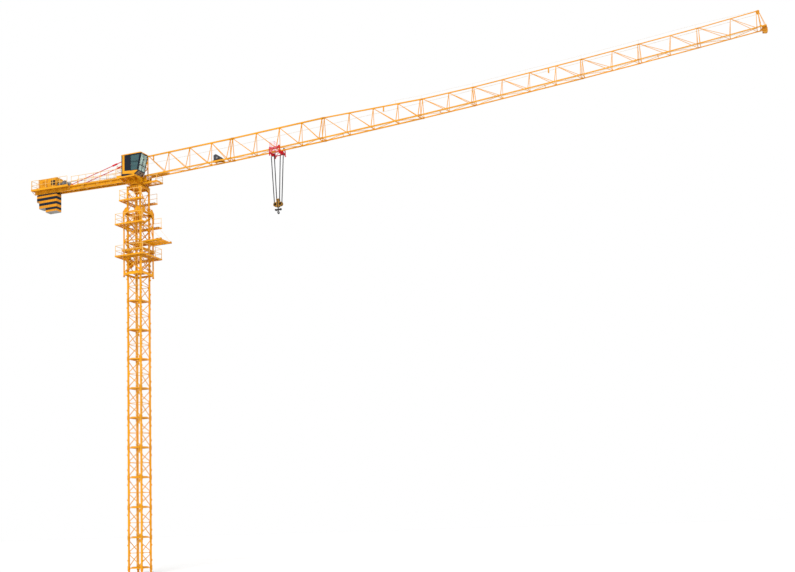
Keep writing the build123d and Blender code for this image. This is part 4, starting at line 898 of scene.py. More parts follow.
# ---------------------------------------------------------------------------
# slewing ring, turntable
# ---------------------------------------------------------------------------
p = Piece("slewing_gear", MAST, m_yellow_shade, m_bolt, m_yellow_shade)
prof = [(0.66, 0.0), (0.755, 0.0), (0.755, 0.13), (0.66, 0.13)]
p.lathe((0, 0, 38.98), prof, "z", 64, 0, False, True)
N = 88
out = []
for i in range(N):
    for da, r in ((-0.25, 0.762), (-0.12, 0.80), (0.12, 0.80), (0.25, 0.762)):
        a = 2 * math.pi * (i + da) / N
        out.append((r * math.cos(a), r * math.sin(a)))
p.plate(out, (0, 0, 39.045), (1, 0, 0), (0, 1, 0), 0.09, 2)
p.done(replaces=["slewing_ring_lower"])

p = Piece("slewing_support_fittings", MAST, m_yellow_shade, m_yellow_shade, m_yellow, m_shadow_fill)
su = LEG + HL
for side in SIDES:
    n, xd = SIDES[side]
    ax = "y" if n[1] else "x"
    sg = n[1] or n[0]
    hole_u = 0.50
    for s in (-1, 1):
        # rims of the hand holes
        c = side_point(side, su + 0.004, s * hole_u, 38.84)
        p.lathe(c, [(0.055, -0.004), (0.070, -0.004), (0.070, 0.008), (0.055, 0.008)], ax, 20, 0, False, True)
        # a near-black disc inside each hand hole paints the shadow within
        c = side_point(side, su - 0.055, s * hole_u, 38.84)
        p.cyl(c, 0.048, 0.03, ax, 18, 3, 0.010)
        for q in range(4):
            p.bolt(side_point(side, su, s * 0.76, 38.52 + 0.12 * q), ax, 0.042, 0.02, 1, sg)
    # top flange and ribs
    p.bar(side_point(side, su + 0.018, -su - 0.03, 38.96), side_point(side, su + 0.018, su + 0.03, 38.96), 0.04, 0.03, up=UP, mat=2)
    p.bar(side_point(side, su + 0.010, -0.34, 38.755), side_point(side, su + 0.010, 0.34, 38.755), 0.02, 0.02, up=UP, mat=2)
    for u in (-0.26, 0.0, 0.26):
        p.bar(side_point(side, su + 0.014, u, 38.77), side_point(side, su + 0.014, u, 38.945), 0.012, 0.026, up=n)
for i in range(40):
    a = 2 * math.pi * (i + 0.5) / 40
    p.bolt((0.715 * math.cos(a), 0.715 * math.sin(a), 38.98 + 0.13 - 0.012), "z", 0.036, 0.012, 1)
p.done()

p = Piece("turntable_fittings", TOP, m_yellow, m_yellow_shade, m_yellow_shade, m_yellow_shade, m_yellow_shade)
for i in range(36):
    a = 2 * math.pi * i / 36
    p.bolt((0.82 * math.cos(a), 0.82 * math.sin(a), 39.135), "z", 0.03, 0.012, 1, -1)
for s in (-1, 1):
    for x in (-0.80, -0.40, 0.0, 0.40, 0.80):
        y0, y1 = sorted((s * 0.85, s * 0.875))
        p.box(x - 0.009, x + 0.009, y0, y1, 39.28, 39.72, 2)
    y0, y1 = sorted((s * 0.85, s * 0.885))
    for z in (39.26, 39.725):
        p.box(-0.95, 0.95, y0, y1, z, z + 0.015, 0)
    # pinned fork on the jib's bottom chord
    for q in (-0.062, 0.05):
        p.plate([(-0.16, -0.22), (0.08, -0.22), (0.12, -0.08), (0.12, 0.06), (0.04, 0.14), (-0.16, 0.14)], (1.20, s * HY + q + 0.006, 39.86), (1, 0, 0), UP, 0.014, 2)
    p.cyl((1.24, s * HY, 39.90), 0.032, 0.17, "y", 14, 4, 0.004)
    # rear forks of the counter-jib
    p.box(-1.02, -0.95, s * 0.36 - 0.06, s * 0.36 + 0.06, 39.50, 39.70, 2)
    for y in (-0.55, -0.18, 0.18, 0.55):
        p.box(0.95, 0.972, y - 0.010, y + 0.010, 39.35, 39.72, 2)
# slewing drive: flanged motor on a gear case, far side of the turntable
for x, y in ((-0.45, 1.02), (0.45, 1.02)):
    p.cyl((x, y, 39.20), 0.12, 0.16, "z", 20, 3, 0.01)
    p.cyl((x, y, 39.36), 0.145, 0.06, "z", 20, 3, 0.006)
    p.cyl((x, y, 39.47), 0.10, 0.16, "z", 20, 3)
    for q in range(7):
        p.cyl((x, y, 39.57 + q * 0.045), 0.115, 0.018, "z", 20, 3)
    p.cyl((x, y, 39.71), 0.098, 0.30, "z", 18, 3)
    p.cyl((x, y, 39.885), 0.105, 0.05, "z", 18, 3, 0.02)
    p.box(x - 0.05, x + 0.05, y + 0.09, y + 0.16, 39.62, 39.76, 3)
    p.box(x - 0.13, x + 0.13, 0.85, y, 39.36, 39.40, 2)
    for q in range(6):
        a = math.pi / 3 * q
        p.bolt((x + 0.125 * math.cos(a), y + 0.125 * math.sin(a), 39.39), "z", 0.026, 0.012, 1)
p.done()

p = Piece("tower_head_fittings", TOP, m_yellow, m_yellow_shade, m_yellow_shade, m_yellow_shade, m_yellow_shade)
for s in (-1, 1):
    y = s * (HY + 0.066)
    for x, z, f in ((HX0, 39.95, 1), (HX1, 41.0, -1), (HX0, 42.0, 1)):
        p.plate([(0, -0.14), (f * 0.22, -0.03), (f * 0.22, 0.08), (0, 0.14)] if f > 0 else [(0, 0.16), (f * 0.22, 0.08), (f * 0.22, -0.08), (0, -0.16)],
                (x, y, z), (1, 0, 0), UP, 0.014, 2)
        for q in (-0.06, 0.04):
            p.bolt((x + f * 0.06, y + s * 0.007, z + q), "y", 0.035, 0.018, 1, s)
    # base plates and ribs
    for x in (HX0, HX1):
        p.box(x - 0.12, x + 0.12, s * HY - 0.12, s * HY + 0.12, TURN_Z1, TURN_Z1 + 0.03, 2)
        for q in (-1, 1):
            p.bolt((x + q * 0.09, s * HY + 0.09 * s, TURN_Z1 + 0.03), "z", 0.04, 0.02, 1)
            p.bolt((x + q * 0.09, s * HY - 0.09 * s, TURN_Z1 + 0.03), "z", 0.04, 0.02, 1)
    # ears and pins of the ties
    p.cyl((HX0 - 0.12, s * HY, HEAD_TOP - 0.01), 0.03, 0.15, "y", 14, 3, 0.004)
    p.plate([(-0.2, -0.10), (0.10, -0.14), (0.10, 0.06), (-0.14, 0.06), (-0.2, 0.02)], (HX0, s * (HY + 0.05), HEAD_TOP), (1, 0, 0), UP, 0.014, 2)
# rope sheave at the foot of the head, with its bracket and guard
p.lathe((0.42, 0.0, 40.02), [(0.03, -0.04), (0.17, -0.035), (0.185, -0.03), (0.16, -0.008), (0.16, 0.008), (0.185, 0.03), (0.17, 0.035), (0.03, 0.04)], "y", 28, 4)
for q in (-0.055, 0.055):
    p.plate([(-0.16, -0.29), (0.16, -0.29), (0.05, 0.06), (-0.05, 0.06)], (0.42, q, 40.02), (1, 0, 0), UP, 0.014, 2)
p.cyl((0.42, 0, 40.02), 0.028, 0.15, "y", 12, 3)
# lug and pin of the jib's top chord
for q in (-0.075, 0.075):
    p.plate([(-0.20, -0.13), (0.28, -0.08), (0.34, 0.0), (0.30, 0.09), (-0.20, 0.08)], (HX1 + 0.02, q, HEAD_TOP - 0.02), (1, 0, 0), UP, 0.02, 2)
p.cyl((1.17, 0, HEAD_TOP - 0.02), 0.035, 0.22, "y", 14, 3, 0.004)
# climbing rungs between the rear legs
for i in range(9):
    p.rod((HX0, -0.17, 39.98 + 0.23 * i), (HX0, 0.17, 39.98 + 0.23 * i), 0.024, 6)
for q in (-0.17, 0.17):
    p.box(HX0 - 0.015, HX0 + 0.015, q - 0.012, q + 0.012, TURN_Z1, HEAD_TOP - 0.12)
p.done()

# ---------------------------------------------------------------------------
# cab
# ---------------------------------------------------------------------------
def fx(z):
    """The front pane's plane."""
    return 1.40 + (z - 39.99) * (CAB_X1 - 0.02 - 1.40) / (CAB_Z1 - 0.07 - 39.99)


p = Piece("cab_trim_bands", TOP, m_trim, m_bolt, m_navy)
for y0, y1 in ((CAB_Y0 - 0.012, CAB_Y0 + 0.002), (CAB_Y1 - 0.002, CAB_Y1 + 0.012)):
    p.box(-0.46, -0.21, y0, y1, 39.86, 41.80)
    band = [(-0.21, 39.84), (1.02, 39.785), (1.35, 39.975), (1.38, 40.05), (-0.21, 40.16)]
    p.add([(x, y, z) for y in (y0, y1) for x, z in band],
          [(0, 1, 2, 3, 4), (9, 8, 7, 6, 5)] + [(i + 5, (i + 1) % 5 + 5, (i + 1) % 5, i) for i in range(5)])
    for z in (39.92, 40.4, 41.0, 41.6):
        for x in (-0.43, -0.24):
            p.bolt((x, y0 if y0 < -1.5 else y1, z), "y", 0.018, 0.008, 1, -1 if y0 < -1.5 else 1)
# dark skirt that tapers out along the near sill, and the lip of the platform under it
p.plate([(-0.58, 39.645), (0.88, 39.645), (-0.30, 39.86), (-0.58, 39.86)], (0, CAB_Y0 - 0.024, 0), (1, 0, 0), UP, 0.008, 2)
p.box(-1.19, 0.98, CAB_Y0 - 0.018, CAB_Y0 - 0.006, 39.50, 39.665, 0)
# seams and frame of the blank navy panel beside the glass
for y in (CAB_Y0 - 0.004, CAB_Y1 + 0.004):
    for x in (-0.17, 0.46):
        p.box(x, x + 0.012, y - 0.004, y + 0.004, 40.18, 41.76, 2)
    p.box(-0.17, 0.472, y - 0.004, y + 0.004, 41.62, 41.632, 2)
p.done()

p = Piece("cab_frames", TOP, m_frame, m_steel, m_rubber)
W = [(0.53, 40.10), (1.33, 40.10), (1.66, 41.72), (0.53, 41.72)]
for y, s in ((CAB_Y0 - 0.006, -1), (CAB_Y1 + 0.006, 1)):
    for i in range(4):
        a, b = W[i], W[(i + 1) % 4]
        p.bar((a[0], y, a[1]), (b[0], y, b[1]), 0.045, 0.022, up=(0, 1, 0))
    p.bar((0.53, y, 40.98), (1.50, y, 40.98), 0.02, 0.020, up=(0, 1, 0))
    p.box(0.60, 0.63, y + (0.0 if s > 0 else -0.020), y + (0.020 if s > 0 else 0.0), 40.60, 40.78, 1)
# front frame, mullions and the foot window
for y in (CAB_Y0 + 0.05, (CAB_Y0 + CAB_Y1) / 2, CAB_Y1 - 0.05):
    p.bar((fx(40.02) + 0.006, y, 40.02), (fx(41.78) + 0.006, y, 41.78), 0.055 if y != (CAB_Y0 + CAB_Y1) / 2 else 0.035, 0.03, up=(0, 1, 0))
for z in (40.04, 40.62, 41.76):
    p.bar((fx(z) + 0.006, CAB_Y0 + 0.03, z), (fx(z) + 0.006, CAB_Y1 - 0.03, z), 0.05 if z != 40.62 else 0.035, 0.03, up=(1, 0, 0))
# wiper: motor cap, arm and blade
y = -1.62
p.cyl((fx(40.62) + 0.035, y, 40.64), 0.035, 0.04, "x", 14, 2)
p.rod((fx(40.64) + 0.05, y, 40.64), (fx(41.28) + 0.045, y + 0.30, 41.28), 0.014, 6, 2)
p.rod((fx(41.02) + 0.03, y + 0.10, 41.02), (fx(41.58) + 0.03, y + 0.46, 41.58), 0.02, 6, 2)
# grab rails by the door
for y in (-1.80, -1.12):
    p.pipe([(CAB_X0 - 0.005, y, 40.25), (CAB_X0 - 0.07, y, 40.28), (CAB_X0 - 0.07, y, 41.02), (CAB_X0 - 0.005, y, 41.05)], 0.024, 8, 1)
p.done()

p = Piece("cab_chin_louvres", TOP, m_grey_brown, m_navy)
# a slatted skirt below the front of the floor
for i in range(5):
    t = i / 4
    x, z = lerp(1.01, 1.395, t), lerp(39.735, 39.945, t)
    p.plate([(-0.035, -0.02), (0.035, 0.0), (0.035, 0.012), (-0.035, -0.008)], (x, (CAB_Y0 + CAB_Y1) / 2, z), (1, 0, 0), UP, CAB_Y1 - CAB_Y0 - 0.10, 0)
for y in (CAB_Y0 + 0.04, (CAB_Y0 + CAB_Y1) / 2, CAB_Y1 - 0.04):
    p.plate([(0.94, 39.70), (1.02, 39.70), (1.42, 39.915), (1.42, 39.985), (1.36, 39.96), (0.99, 39.765), (0.94, 39.75)], (0, y, 0), (1, 0, 0), UP, 0.03, 1)
p.done()

p = Piece("cab_roof_fittings", TOP, m_trim, m_navy, m_dark, m_lamp)
for i in range(6):
    x = -0.42 + 0.36 * i
    p.profile((x, CAB_Y0 + 0.06, CAB_Z1 + 0.02), (x, CAB_Y1 - 0.06, CAB_Z1 + 0.02), [(-0.05, -0.004), (0.05, -0.004), (0.03, 0.016), (-0.03, 0.016)], mat=0)
# roof vent: a low cowl with a slotted side
p.profile((0.15, -1.62, CAB_Z1 + 0.02), (0.15, -1.28, CAB_Z1 + 0.02), [(-0.22, 0.0), (0.22, 0.0), (0.18, 0.11), (-0.18, 0.11)], mat=2)
for i in range(5):
    p.box(-0.02 + 0.07 * i, 0.02 + 0.07 * i, -1.628, -1.618, CAB_Z1 + 0.045, CAB_Z1 + 0.105, 1)
# working lights under the roof's front edge
for y in (-1.86, -1.05):
    p.cyl((CAB_X1 + 0.035, y, CAB_Z1 - 0.13), 0.05, 0.05, "x", 16, 2, 0.008)
    p.cyl((CAB_X1 + 0.062, y, CAB_Z1 - 0.13), 0.042, 0.006, "x", 16, 3)
    p.box(CAB_X1 - 0.01, CAB_X1 + 0.03, y - 0.012, y + 0.012, CAB_Z1 - 0.13, CAB_Z1 - 0.06, 2)
p.done()

p = Piece("cab_interior", TOP, m_seat, m_dark, m_steel)
sx0, sy0 = 0.55, -1.45
p.profile((sx0 - 0.24, sy0, 40.30), (sx0 + 0.26, sy0, 40.33), [(-0.25, -0.05), (0.25, -0.05), (0.27, 0.0), (0.24, 0.06), (-0.24, 0.06), (-0.27, 0.0)])
p.profile((sx0 - 0.20, sy0, 40.36), (sx0 - 0.34, sy0, 41.02), [(-0.24, -0.05), (0.24, -0.05), (0.26, 0.0), (0.23, 0.05), (-0.23, 0.05), (-0.26, 0.0)], up=(1, 0, 0))
p.profile((sx0 - 0.335, sy0, 41.05), (sx0 - 0.365, sy0, 41.22), [(-0.12, -0.04), (0.12, -0.04), (0.13, 0.0), (0.11, 0.04), (-0.11, 0.04), (-0.13, 0.0)], up=(1, 0, 0))
p.cyl((sx0, sy0, 40.05), 0.07, 0.42, "z", 14, 1)
p.cyl((sx0, sy0, 39.86), 0.20, 0.04, "z", 20, 1, 0.01)
for s in (-1, 1):
    y = sy0 + s * 0.37
    p.box(sx0 - 0.20, sx0 + 0.34, y - 0.07, y + 0.07, 40.40, 40.58, 1)
    p.box(sx0 + 0.10, sx0 + 0.34, y - 0.08, y + 0.08, 40.58, 40.60, 2)
    p.rod((sx0 + 0.24, y, 40.60), (sx0 + 0.26, y, 40.74), 0.02, 8, 2)
    p.lathe((sx0 + 0.262, y, 40.76), [(0.008, -0.035), (0.028, -0.02), (0.032, 0.0), (0.026, 0.02), (0.006, 0.032)], "z", 12, 1)
    p.cyl((sx0 - 0.02, y, 40.18), 0.03, 0.44, "z", 10, 1)
p.box(1.28, 1.34, -1.32, -1.02, 40.55, 40.80, 1)
p.rod((1.30, -1.17, 40.05), (1.31, -1.17, 40.56), 0.03, 8, 1)
p.done()

p = Piece("cab_platform_fittings", TOP, m_yellow, m_grate_shade, m_yellow_pale, m_yellow_shade, m_yellow_shade)
p.grating(-1.18, CAB_X0 - 0.03, -2.05, -0.88, CAB_Z0 + 0.030, 0.030, 0.07, 0.30, 0.010, "y", 1)
for x in [-1.14 + 0.22 * i for i in range(10)]:
    p.box(x - 0.008, x + 0.008, -2.05, -0.90, CAB_Z0 - 0.15, CAB_Z0 - 0.10, 3)
for y in (-2.05, -1.45, -0.90):
    p.box(-1.18, 0.96, y - 0.01, y + 0.01, CAB_Z0 - 0.16, CAB_Z0 - 0.10, 3)
# handrail behind the cab
rp = [(-1.17, -0.90), (-1.17, -2.04), (-0.66, -2.04)]
for z in (0.55, 1.05):
    p.pipe([(x, y, CAB_Z0 + z) for x, y in rp], 0.032, 8, 2)
for x, y in [(-1.17, -0.90), (-1.17, -1.47), (-1.17, -2.04), (-0.66, -2.04)]:
    p.rod((x, y, CAB_Z0), (x, y, CAB_Z0 + 1.06), 0.034, 8, 2)
    p.box(x - 0.03, x + 0.03, y - 0.028, y + 0.03, CAB_Z0, CAB_Z0 + 0.012, 0)
for x in (-1.1, -0.4, 0.3, 0.9):
    for y in (-0.95, -1.1):
        p.bolt((x, y, CAB_Z0 - 0.02 - 0.11), "x", 0.03, 0.015, 4, -1)
# hangers from the platform's edge to the turntable
for x in (-0.90, 0.90):
    p.rod((x, -0.87, 39.72), (x, -1.95, 39.66), 0.05, 10, 0)
p.done()

p = Piece("service_platform_built", TOP, m_yellow, m_yellow_shade, m_yellow_pale, m_grate_shade)
for s in (-1, 1):
    ya, yb = sorted((s * 0.46, s * 0.54))
    ym = s * 0.53
    # channel beams with the riser to the turntable
    for z in (39.09, 39.196):
        p.box(0.95, 2.65, ya, yb, z, z + 0.014)
    p.box(0.95, 2.65, ym - 0.006, ym + 0.006, 39.104, 39.196)
    p.box(0.952, 1.01, ya, yb, 39.09, 39.34, 1)
    for x in (1.0, 1.5, 2.05, 2.60):
        p.box(x - 0.006, x + 0.006, ya + 0.006, yb - 0.016, 39.104, 39.196, 1)
    # handrail posts in sockets, top and knee rails
    for x in (1.75, 2.62):
        p.box(x - 0.03, x + 0.03, s * 0.525 - 0.03, s * 0.525 + 0.03, 39.21, 39.225, 0)
        p.box(x - 0.0175, x + 0.0175, s * 0.525 - 0.0175, s * 0.525 + 0.0175, 39.21, 39.85, 2)
    p.rod((1.75, s * 0.525, 39.52), (2.62, s * 0.525, 39.52), 0.026, 8, 2)
    p.rod((1.735, s * 0.525, 39.835), (2.635, s * 0.525, 39.835), 0.035, 10, 2)
    p.box(1.6, 2.66, min(s * 0.54, s * 0.550), max(s * 0.54, s * 0.550), 39.20, 39.25, 0)
p.rod((2.62, -0.525, 39.52), (2.62, 0.525, 39.52), 0.026, 8, 2)
p.rod((2.62, -0.525, 39.835), (2.62, 0.525, 39.835), 0.035, 10, 2)
p.box(2.648, 2.66, -0.55, 0.55, 39.12, 39.25, 0)
for x in (0.96, 1.5, 2.05, 2.59):
    # cross members, angle section
    p.box(x, x + 0.06, -0.46, 0.46, 39.10, 39.112, 1)
    p.box(x, x + 0.012, -0.46, 0.46, 39.112, 39.18, 1)
# open floor of flat bars on edge
p.grating(1.53, 2.60, -0.46, 0.46, 39.165, 0.030, 0.20, 0.36, 0.010, "x", 0)
p.done(replaces=["service_platform"])

# ---------------------------------------------------------------------------
# jib
# ---------------------------------------------------------------------------
LACE_SHIFT = (0.28, 0.18, 0.12, 0.11)
BOTTOM_CHORDS = (0.115, 0.115, 0.110, 0.095, 0.090, 0.080, 0.076, 0.072)
TOP_CHORDS = (0.130, 0.125, 0.105, 0.090, 0.080, 0.074, 0.070, 0.066)
for i in range(8):
    xa, xb = JOINTS[i], JOINTS[i + 1]
    tops = [xa + (0.13 if i < 4 else 0.08)] + list(PANELS[i]) + [xb - (0.12 if i < 3 else 0.06)]
    off = LACE_SHIFT[min(i, 3)]
    feet = [max(x - off, xa + 0.06) for x in tops]
    if i > 3:
        feet[0] = xa + 0.15
    if i > 2:
        feet[-1] = xb - 0.07
    tc, bc = TOP_CHORDS[i], BOTTOM_CHORDS[i]
    g = (tc / 0.125) ** 1.3
    e0 = (CHORD - bc) / 2
    p = Piece("jib_section_%d_fittings" % (i + 1), TOP, m_yellow, m_yellow_shade)
    for k, x in enumerate(tops):
        if i == 0 and k == 0:
            continue
        # saddle gusset under the top chord at each node
        zt = jib_t(x)
        for s in (-1, 1):
            p.plate([(-0.13 * g, 0.02), (0.13 * g, 0.02), (0.07 * g, -0.12 * g), (-0.08 * g, -0.12 * g)], (x, s * 0.018, zt - tc / 2 + 0.01), (1, 0, 0), (0, s * 0.19, 0.98), 0.010, 0)
        # foot gussets on the bottom chords, outer face
        xf = feet[k]
        zf = jib_b(xf)
        for s in (-1, 1):
            p.plate([(-0.11 * g, 0.0), (0.12 * g, 0.0), (0.05 * g, 0.12 * g), (-0.04 * g, 0.12 * g)], (xf, s * (CHORD_Y - 0.03), zf + CHORD / 2 - 0.01), (1, 0, 0), (0, -s * 0.17, 0.985), 0.010, 0)
            p.bolt((xf - 0.03, s * (CHORD_Y + CHORD / 2), zf + e0), "y", 0.03 * g, 0.006, 1, s)
    if i < 3:
        for k, x in enumerate(feet):
            # angles across the bottom plane beside each node
            z = jib_b(x)
            if i or k:
                p.box(x + 0.05, x + 0.060, -0.36, 0.36, z - 0.03, z + 0.02, 0)
    # joints: forks, lugs and pins at both ends of the section
    for x, e in ((xa, 1), (xb, -1)):
        if x == JOINTS[0] and e == 1:
            continue
        zt = jib_t(x + e * 0.01)
        h = tc * 0.62
        for q in ((-tc * 0.60, tc * 0.49) if e > 0 else (-tc * 0.38, tc * 0.27)):
            p.plate([(-0.02 * e, -h), (e * 0.26 * g, -h * 0.9), (e * 0.32 * g, 0.0), (e * 0.26 * g, h * 0.9), (-0.02 * e, h)] if e > 0 else
                    [(-0.02 * e, h), (e * 0.26 * g, h * 0.9), (e * 0.32 * g, 0.0), (e * 0.26 * g, -h * 0.9), (-0.02 * e, -h)],
                    (x, q + 0.007, zt), (1, 0, 0), UP, 0.014, 1)
        if e < 0:
            p.cyl((x, 0, zt), 0.028, tc * 1.6, "y", 12, 1, 0.004)
        zc = jib_b(x + e * 0.01) + e0
        for s in (-1, 1):
            for q in (-bc * 0.58, bc * 0.58 - e0):
                p.plate([(0, -bc * 0.6), (e * 0.20 * g, -bc * 0.55), (e * 0.20 * g, bc * 0.55), (0, bc * 0.6)] if e > 0 else [(0, bc * 0.6), (e * 0.20 * g, bc * 0.55), (e * 0.20 * g, -bc * 0.55), (0, -bc * 0.6)],
                        (x, s * (CHORD_Y + e0) + q * (0.93 if e < 0 else 1.0), zc), (1, 0, 0), UP, 0.010, 1)
            if e < 0:
                p.cyl((x, s * (CHORD_Y + e0), zc), 0.022, bc * 1.45, "y", 12, 1, 0.004)
    p.done()

# a lifeline clipped to the posts of the near side's lattice above the walkway, and one on short stands over the top
# chord
p = Piece("jib_lifelines", TOP, m_wire, m_yellow_pale)
for s in (-1,):
    pts = []
    for i in range(8):
        xa, xb = JOINTS[i], JOINTS[i + 1]
        off = LACE_SHIFT[min(i, 3)]
        for x in [xa + 0.13] + list(PANELS[i]) + [xb - 0.12]:
            f = max(x - off, xa + 0.06)
            t = 1.27 / (jib_t(x) - jib_b(f))
            c = (lerp(f, x, t), s * 0.395 * (1 - t), lerp(jib_b(f), jib_t(x), t))
            pts.append((c[0], c[1] + s * 0.035, c[2]))
            p.box(c[0] - 0.018, c[0] + 0.018, c[1] + s * 0.035 - 0.012, c[1] + s * 0.035 + 0.012, c[2] - 0.02, c[2] + 0.02, 1)
    p.pipe(pts, 0.020, 6)
pts = [(27.9, 0, jib_t(27.9) + 0.05)]
for x in (28.9, 31.47, 36.52, 41.5, 46.52, 51.51, 56.3):
    z = jib_t(x)
    p.rod((x, 0, z + 0.02), (x, 0, z + 0.36), 0.016, 6, 1)
    pts.append((x, 0, z + 0.355))
pts.append((61.30, 0, TOP_Z[-1] + 0.05))
p.pipe(pts, 0.010, 5)
p.done()

p = Piece("jib_walkway", TOP, m_grate_shade, m_yellow_shade)
for x0, x1 in ((1.42, 3.46),):
    n = 8
    for j in range(n):
        a, b = lerp(x0, x1, j / n), lerp(x0, x1, (j + 1) / n)
        z = jib_b((a + b) / 2) + 0.062
        p.grating(a, b - 0.01, -0.34, 0.34, z, 0.03, 0.07, 0.25, 0.010, "x", 0)
    for y in (-0.35, 0.35):
        p.bar((x0, y, jib_b(x0) + 0.045), (x1, y, jib_b(x1) + 0.045), 0.02, 0.05, mat=1)
p.done()

# small things hung under the top chord, and rope rollers across the bottom plane
p = Piece("jib_rope_guides", TOP, m_yellow, m_yellow_shade, m_yellow_shade, m_lamp)
for x in (1.89, 27.65, 43.57):
    z = jib_t(x)
    for q in (-0.045, 0.045):
        p.plate([(-0.05, 0.0), (0.05, 0.0), (0.045, -0.40), (-0.045, -0.40)], (x, q, z - 0.04), (1, 0, 0), UP, 0.010, 0)
    p.box(x - 0.045, x + 0.045, -0.05, 0.05, z - 0.47, z - 0.43, 0)
    p.lathe((x, 0, z - 0.36), [(0.02, -0.035), (0.065, -0.032), (0.070, -0.026), (0.05, 0.0), (0.070, 0.026), (0.065, 0.032), (0.02, 0.035)], "y", 18, 2)
x = 3.6
while x < 60.5:
    z = jib_b(x) + 0.075
    p.cyl((x, 0, z), 0.020, 0.22, "y", 10, 1, 0.003)
    for q in (-0.12, 0.12):
        p.box(x - 0.015, x + 0.015, q - 0.006, q + 0.006, z - 0.10, z + 0.02, 0)
    p.box(x - 0.012, x + 0.012, -0.38, 0.38, z - 0.108, z - 0.094, 0)
    x += 9.9
p.done()

p = Piece("jib_rope_runs", TOP, m_wire, m_rope)
xs = [1.0 + (61.2 - 1.0) * j / 40 for j in range(41)]
for y, dz, d in ((0.0, 0.125, 0.018), (-0.09, 0.12, 0.012), (0.09, 0.12, 0.012)):
    p.pipe([(x, y, zb(x) + dz) for x in xs], d, 6)
# from the drum over the head's sheave to the jib
p.pipe([(WX + 0.05, 0.10, WZ + 0.31), (-4.0, 0.03, 40.60), (0.25, 0.0, 40.18), (0.42, 0.0, 40.195), (0.60, 0.0, 40.16), (1.0, 0.0, zb(1.0) + 0.125)], 0.024, 6, 1)
p.done()

p = Piece("jib_tip_fittings", TOP, m_yellow, m_yellow_shade, m_yellow_shade, m_yellow_shade, m_steel)
zq, zt = zb(JOINTS[-1]), TOP_Z[-1]
for s in (-1, 1):
    p.plate([(-0.26, -0.30), (0.06, -0.36), (0.10, 0.02), (-0.10, 0.12), (-0.26, 0.10)], (61.84, s * 0.238, zq), (1, 0, 0), UP, 0.014, 2)
    p.bolt((61.82, s * 0.265, zq - 0.12), "y", 0.06, 0.03, 1, s)
    p.plate([(-0.14, 0.0), (0.14, 0.0), (0.06, 0.14), (-0.04, 0.14)], (61.50, s * 0.40, zq + 0.05), (1, 0, 0), (0, -s * 0.2, 0.98), 0.012, 2)
    p.bar((61.36, s * 0.06, zt - 0.26), (61.52, s * 0.36, zq + 0.35), 0.02, 0.02)
for s in (-1, 1):
    y = s * 0.256
    p.lathe((61.82, y, zq - 0.12), [(0.10, -s * 0.004), (0.198, -s * 0.004), (0.198, s * 0.010), (0.185, s * 0.010), (0.175, s * 0.002), (0.12, s * 0.002), (0.10, s * 0.010)], "y", 28, 1)
    for q in range(6):
        a = math.pi / 3 * q
        p.bolt((61.82 + 0.15 * math.cos(a), y + s * 0.002, zq - 0.12 + 0.15 * math.sin(a)), "y", 0.03, 0.012, 1, s)
    p.plate([(-0.10, -0.26), (0.10, -0.26), (0.13, 0.0), (0.02, 0.05), (-0.12, 0.03)], (61.33, s * 0.058, zt), (1, 0, 0), UP, 0.012, 2)
p.done()

# trolley winch on the first section
wz = lerp(zb(JOINTS[0]), zb(JOINTS[1]), (9.9 - JOINTS[0]) / (JOINTS[1] - JOINTS[0]))
wa = math.atan2(zb(JOINTS[1]) - zb(JOINTS[0]), JOINTS[1] - JOINTS[0])
w0 = wz + CHORD / 2 + 0.002
p = Piece("trolley_winch_built", TOP, m_dark, m_steel, m_rope, m_yellow_shade, m_bolt)
for x in (9.16, 10.08):
    p.box(x, x + 0.10, -0.385, 0.385, w0, w0 + 0.03, 3)
    p.box(x + 0.04, x + 0.06, -0.385, 0.385, w0 + 0.03, w0 + 0.085, 3)
    p.box(x, x + 0.10, -0.385, 0.385, w0 + 0.085, w0 + 0.10, 3)
    for y in (-0.36, 0.36):
        p.bolt((x + 0.02, y, w0 + 0.10), "z", 0.03, 0.015, 4)
for y in (-0.24, 0.24):
    p.box(9.16, 10.18, y - 0.04, y + 0.04, w0 + 0.02, w0 + 0.035, 3)
    p.box(9.16, 10.18, y - 0.008, y + 0.008, w0 + 0.035, w0 + 0.12, 3)
hood = [(9.20, w0 + 0.10), (10.14, w0 + 0.10), (10.14, w0 + 0.26), (9.46, w0 + 0.76), (9.20, w0 + 0.68)]
for y in (-0.21, 0.21):
    p.plate(hood, (0, y, 0), (1, 0, 0), UP, 0.02, 0)
for a, b in (((9.20, w0 + 0.68), (9.46, w0 + 0.76)), ((9.46, w0 + 0.76), (10.14, w0 + 0.26)), ((10.14, w0 + 0.26), (10.14, w0 + 0.10)), ((9.20, w0 + 0.10), (9.20, w0 + 0.68))):
    p.bar((a[0], 0, a[1]), (b[0], 0, b[1]), 0.44, 0.012, up=(0.6, 0, 0.8) if a[0] != b[0] else (1, 0, 0), mat=0)
for q in range(9):
    x = 9.52 + 0.065 * q
    z = w0 + 0.76 - (x - 9.46) * 0.5 / 0.68
    p.plate([(-0.02, 0.0), (0.02, 0.0), (0.0, 0.03)], (x, 0, z - 0.012), (1, 0, 0), UP, 0.32, 4)
# rope drum seen between the side plates and its end caps outside them
for s in (-1, 1):
    p.cyl((9.62, s * 0.255, w0 + 0.34), 0.20, 0.07, "y", 26, 0, 0.012)
    p.cyl((9.62, s * 0.295, w0 + 0.34), 0.10, 0.03, "y", 20, 1, 0.006)
    for q in range(6):
        a = math.pi / 3 * q
        p.bolt((9.62 + 0.155 * math.cos(a), s * 0.29, w0 + 0.34 + 0.155 * math.sin(a)), "y", 0.026, 0.012, 4, s)
for i in range(8):
    p.box(9.22 + 0.02, 9.22 + 0.035, -0.18 + 0.05 * i, -0.165 + 0.05 * i, w0 + 0.14, w0 + 0.60, 4)
p.done(replaces=["trolley_winch"], turn=((9.9, 0, wz), wa))

# ---------------------------------------------------------------------------
# counter-jib
# ---------------------------------------------------------------------------
p = Piece("counter_jib_deck_built", TOP, m_yellow, m_grate_shade, m_yellow_shade)


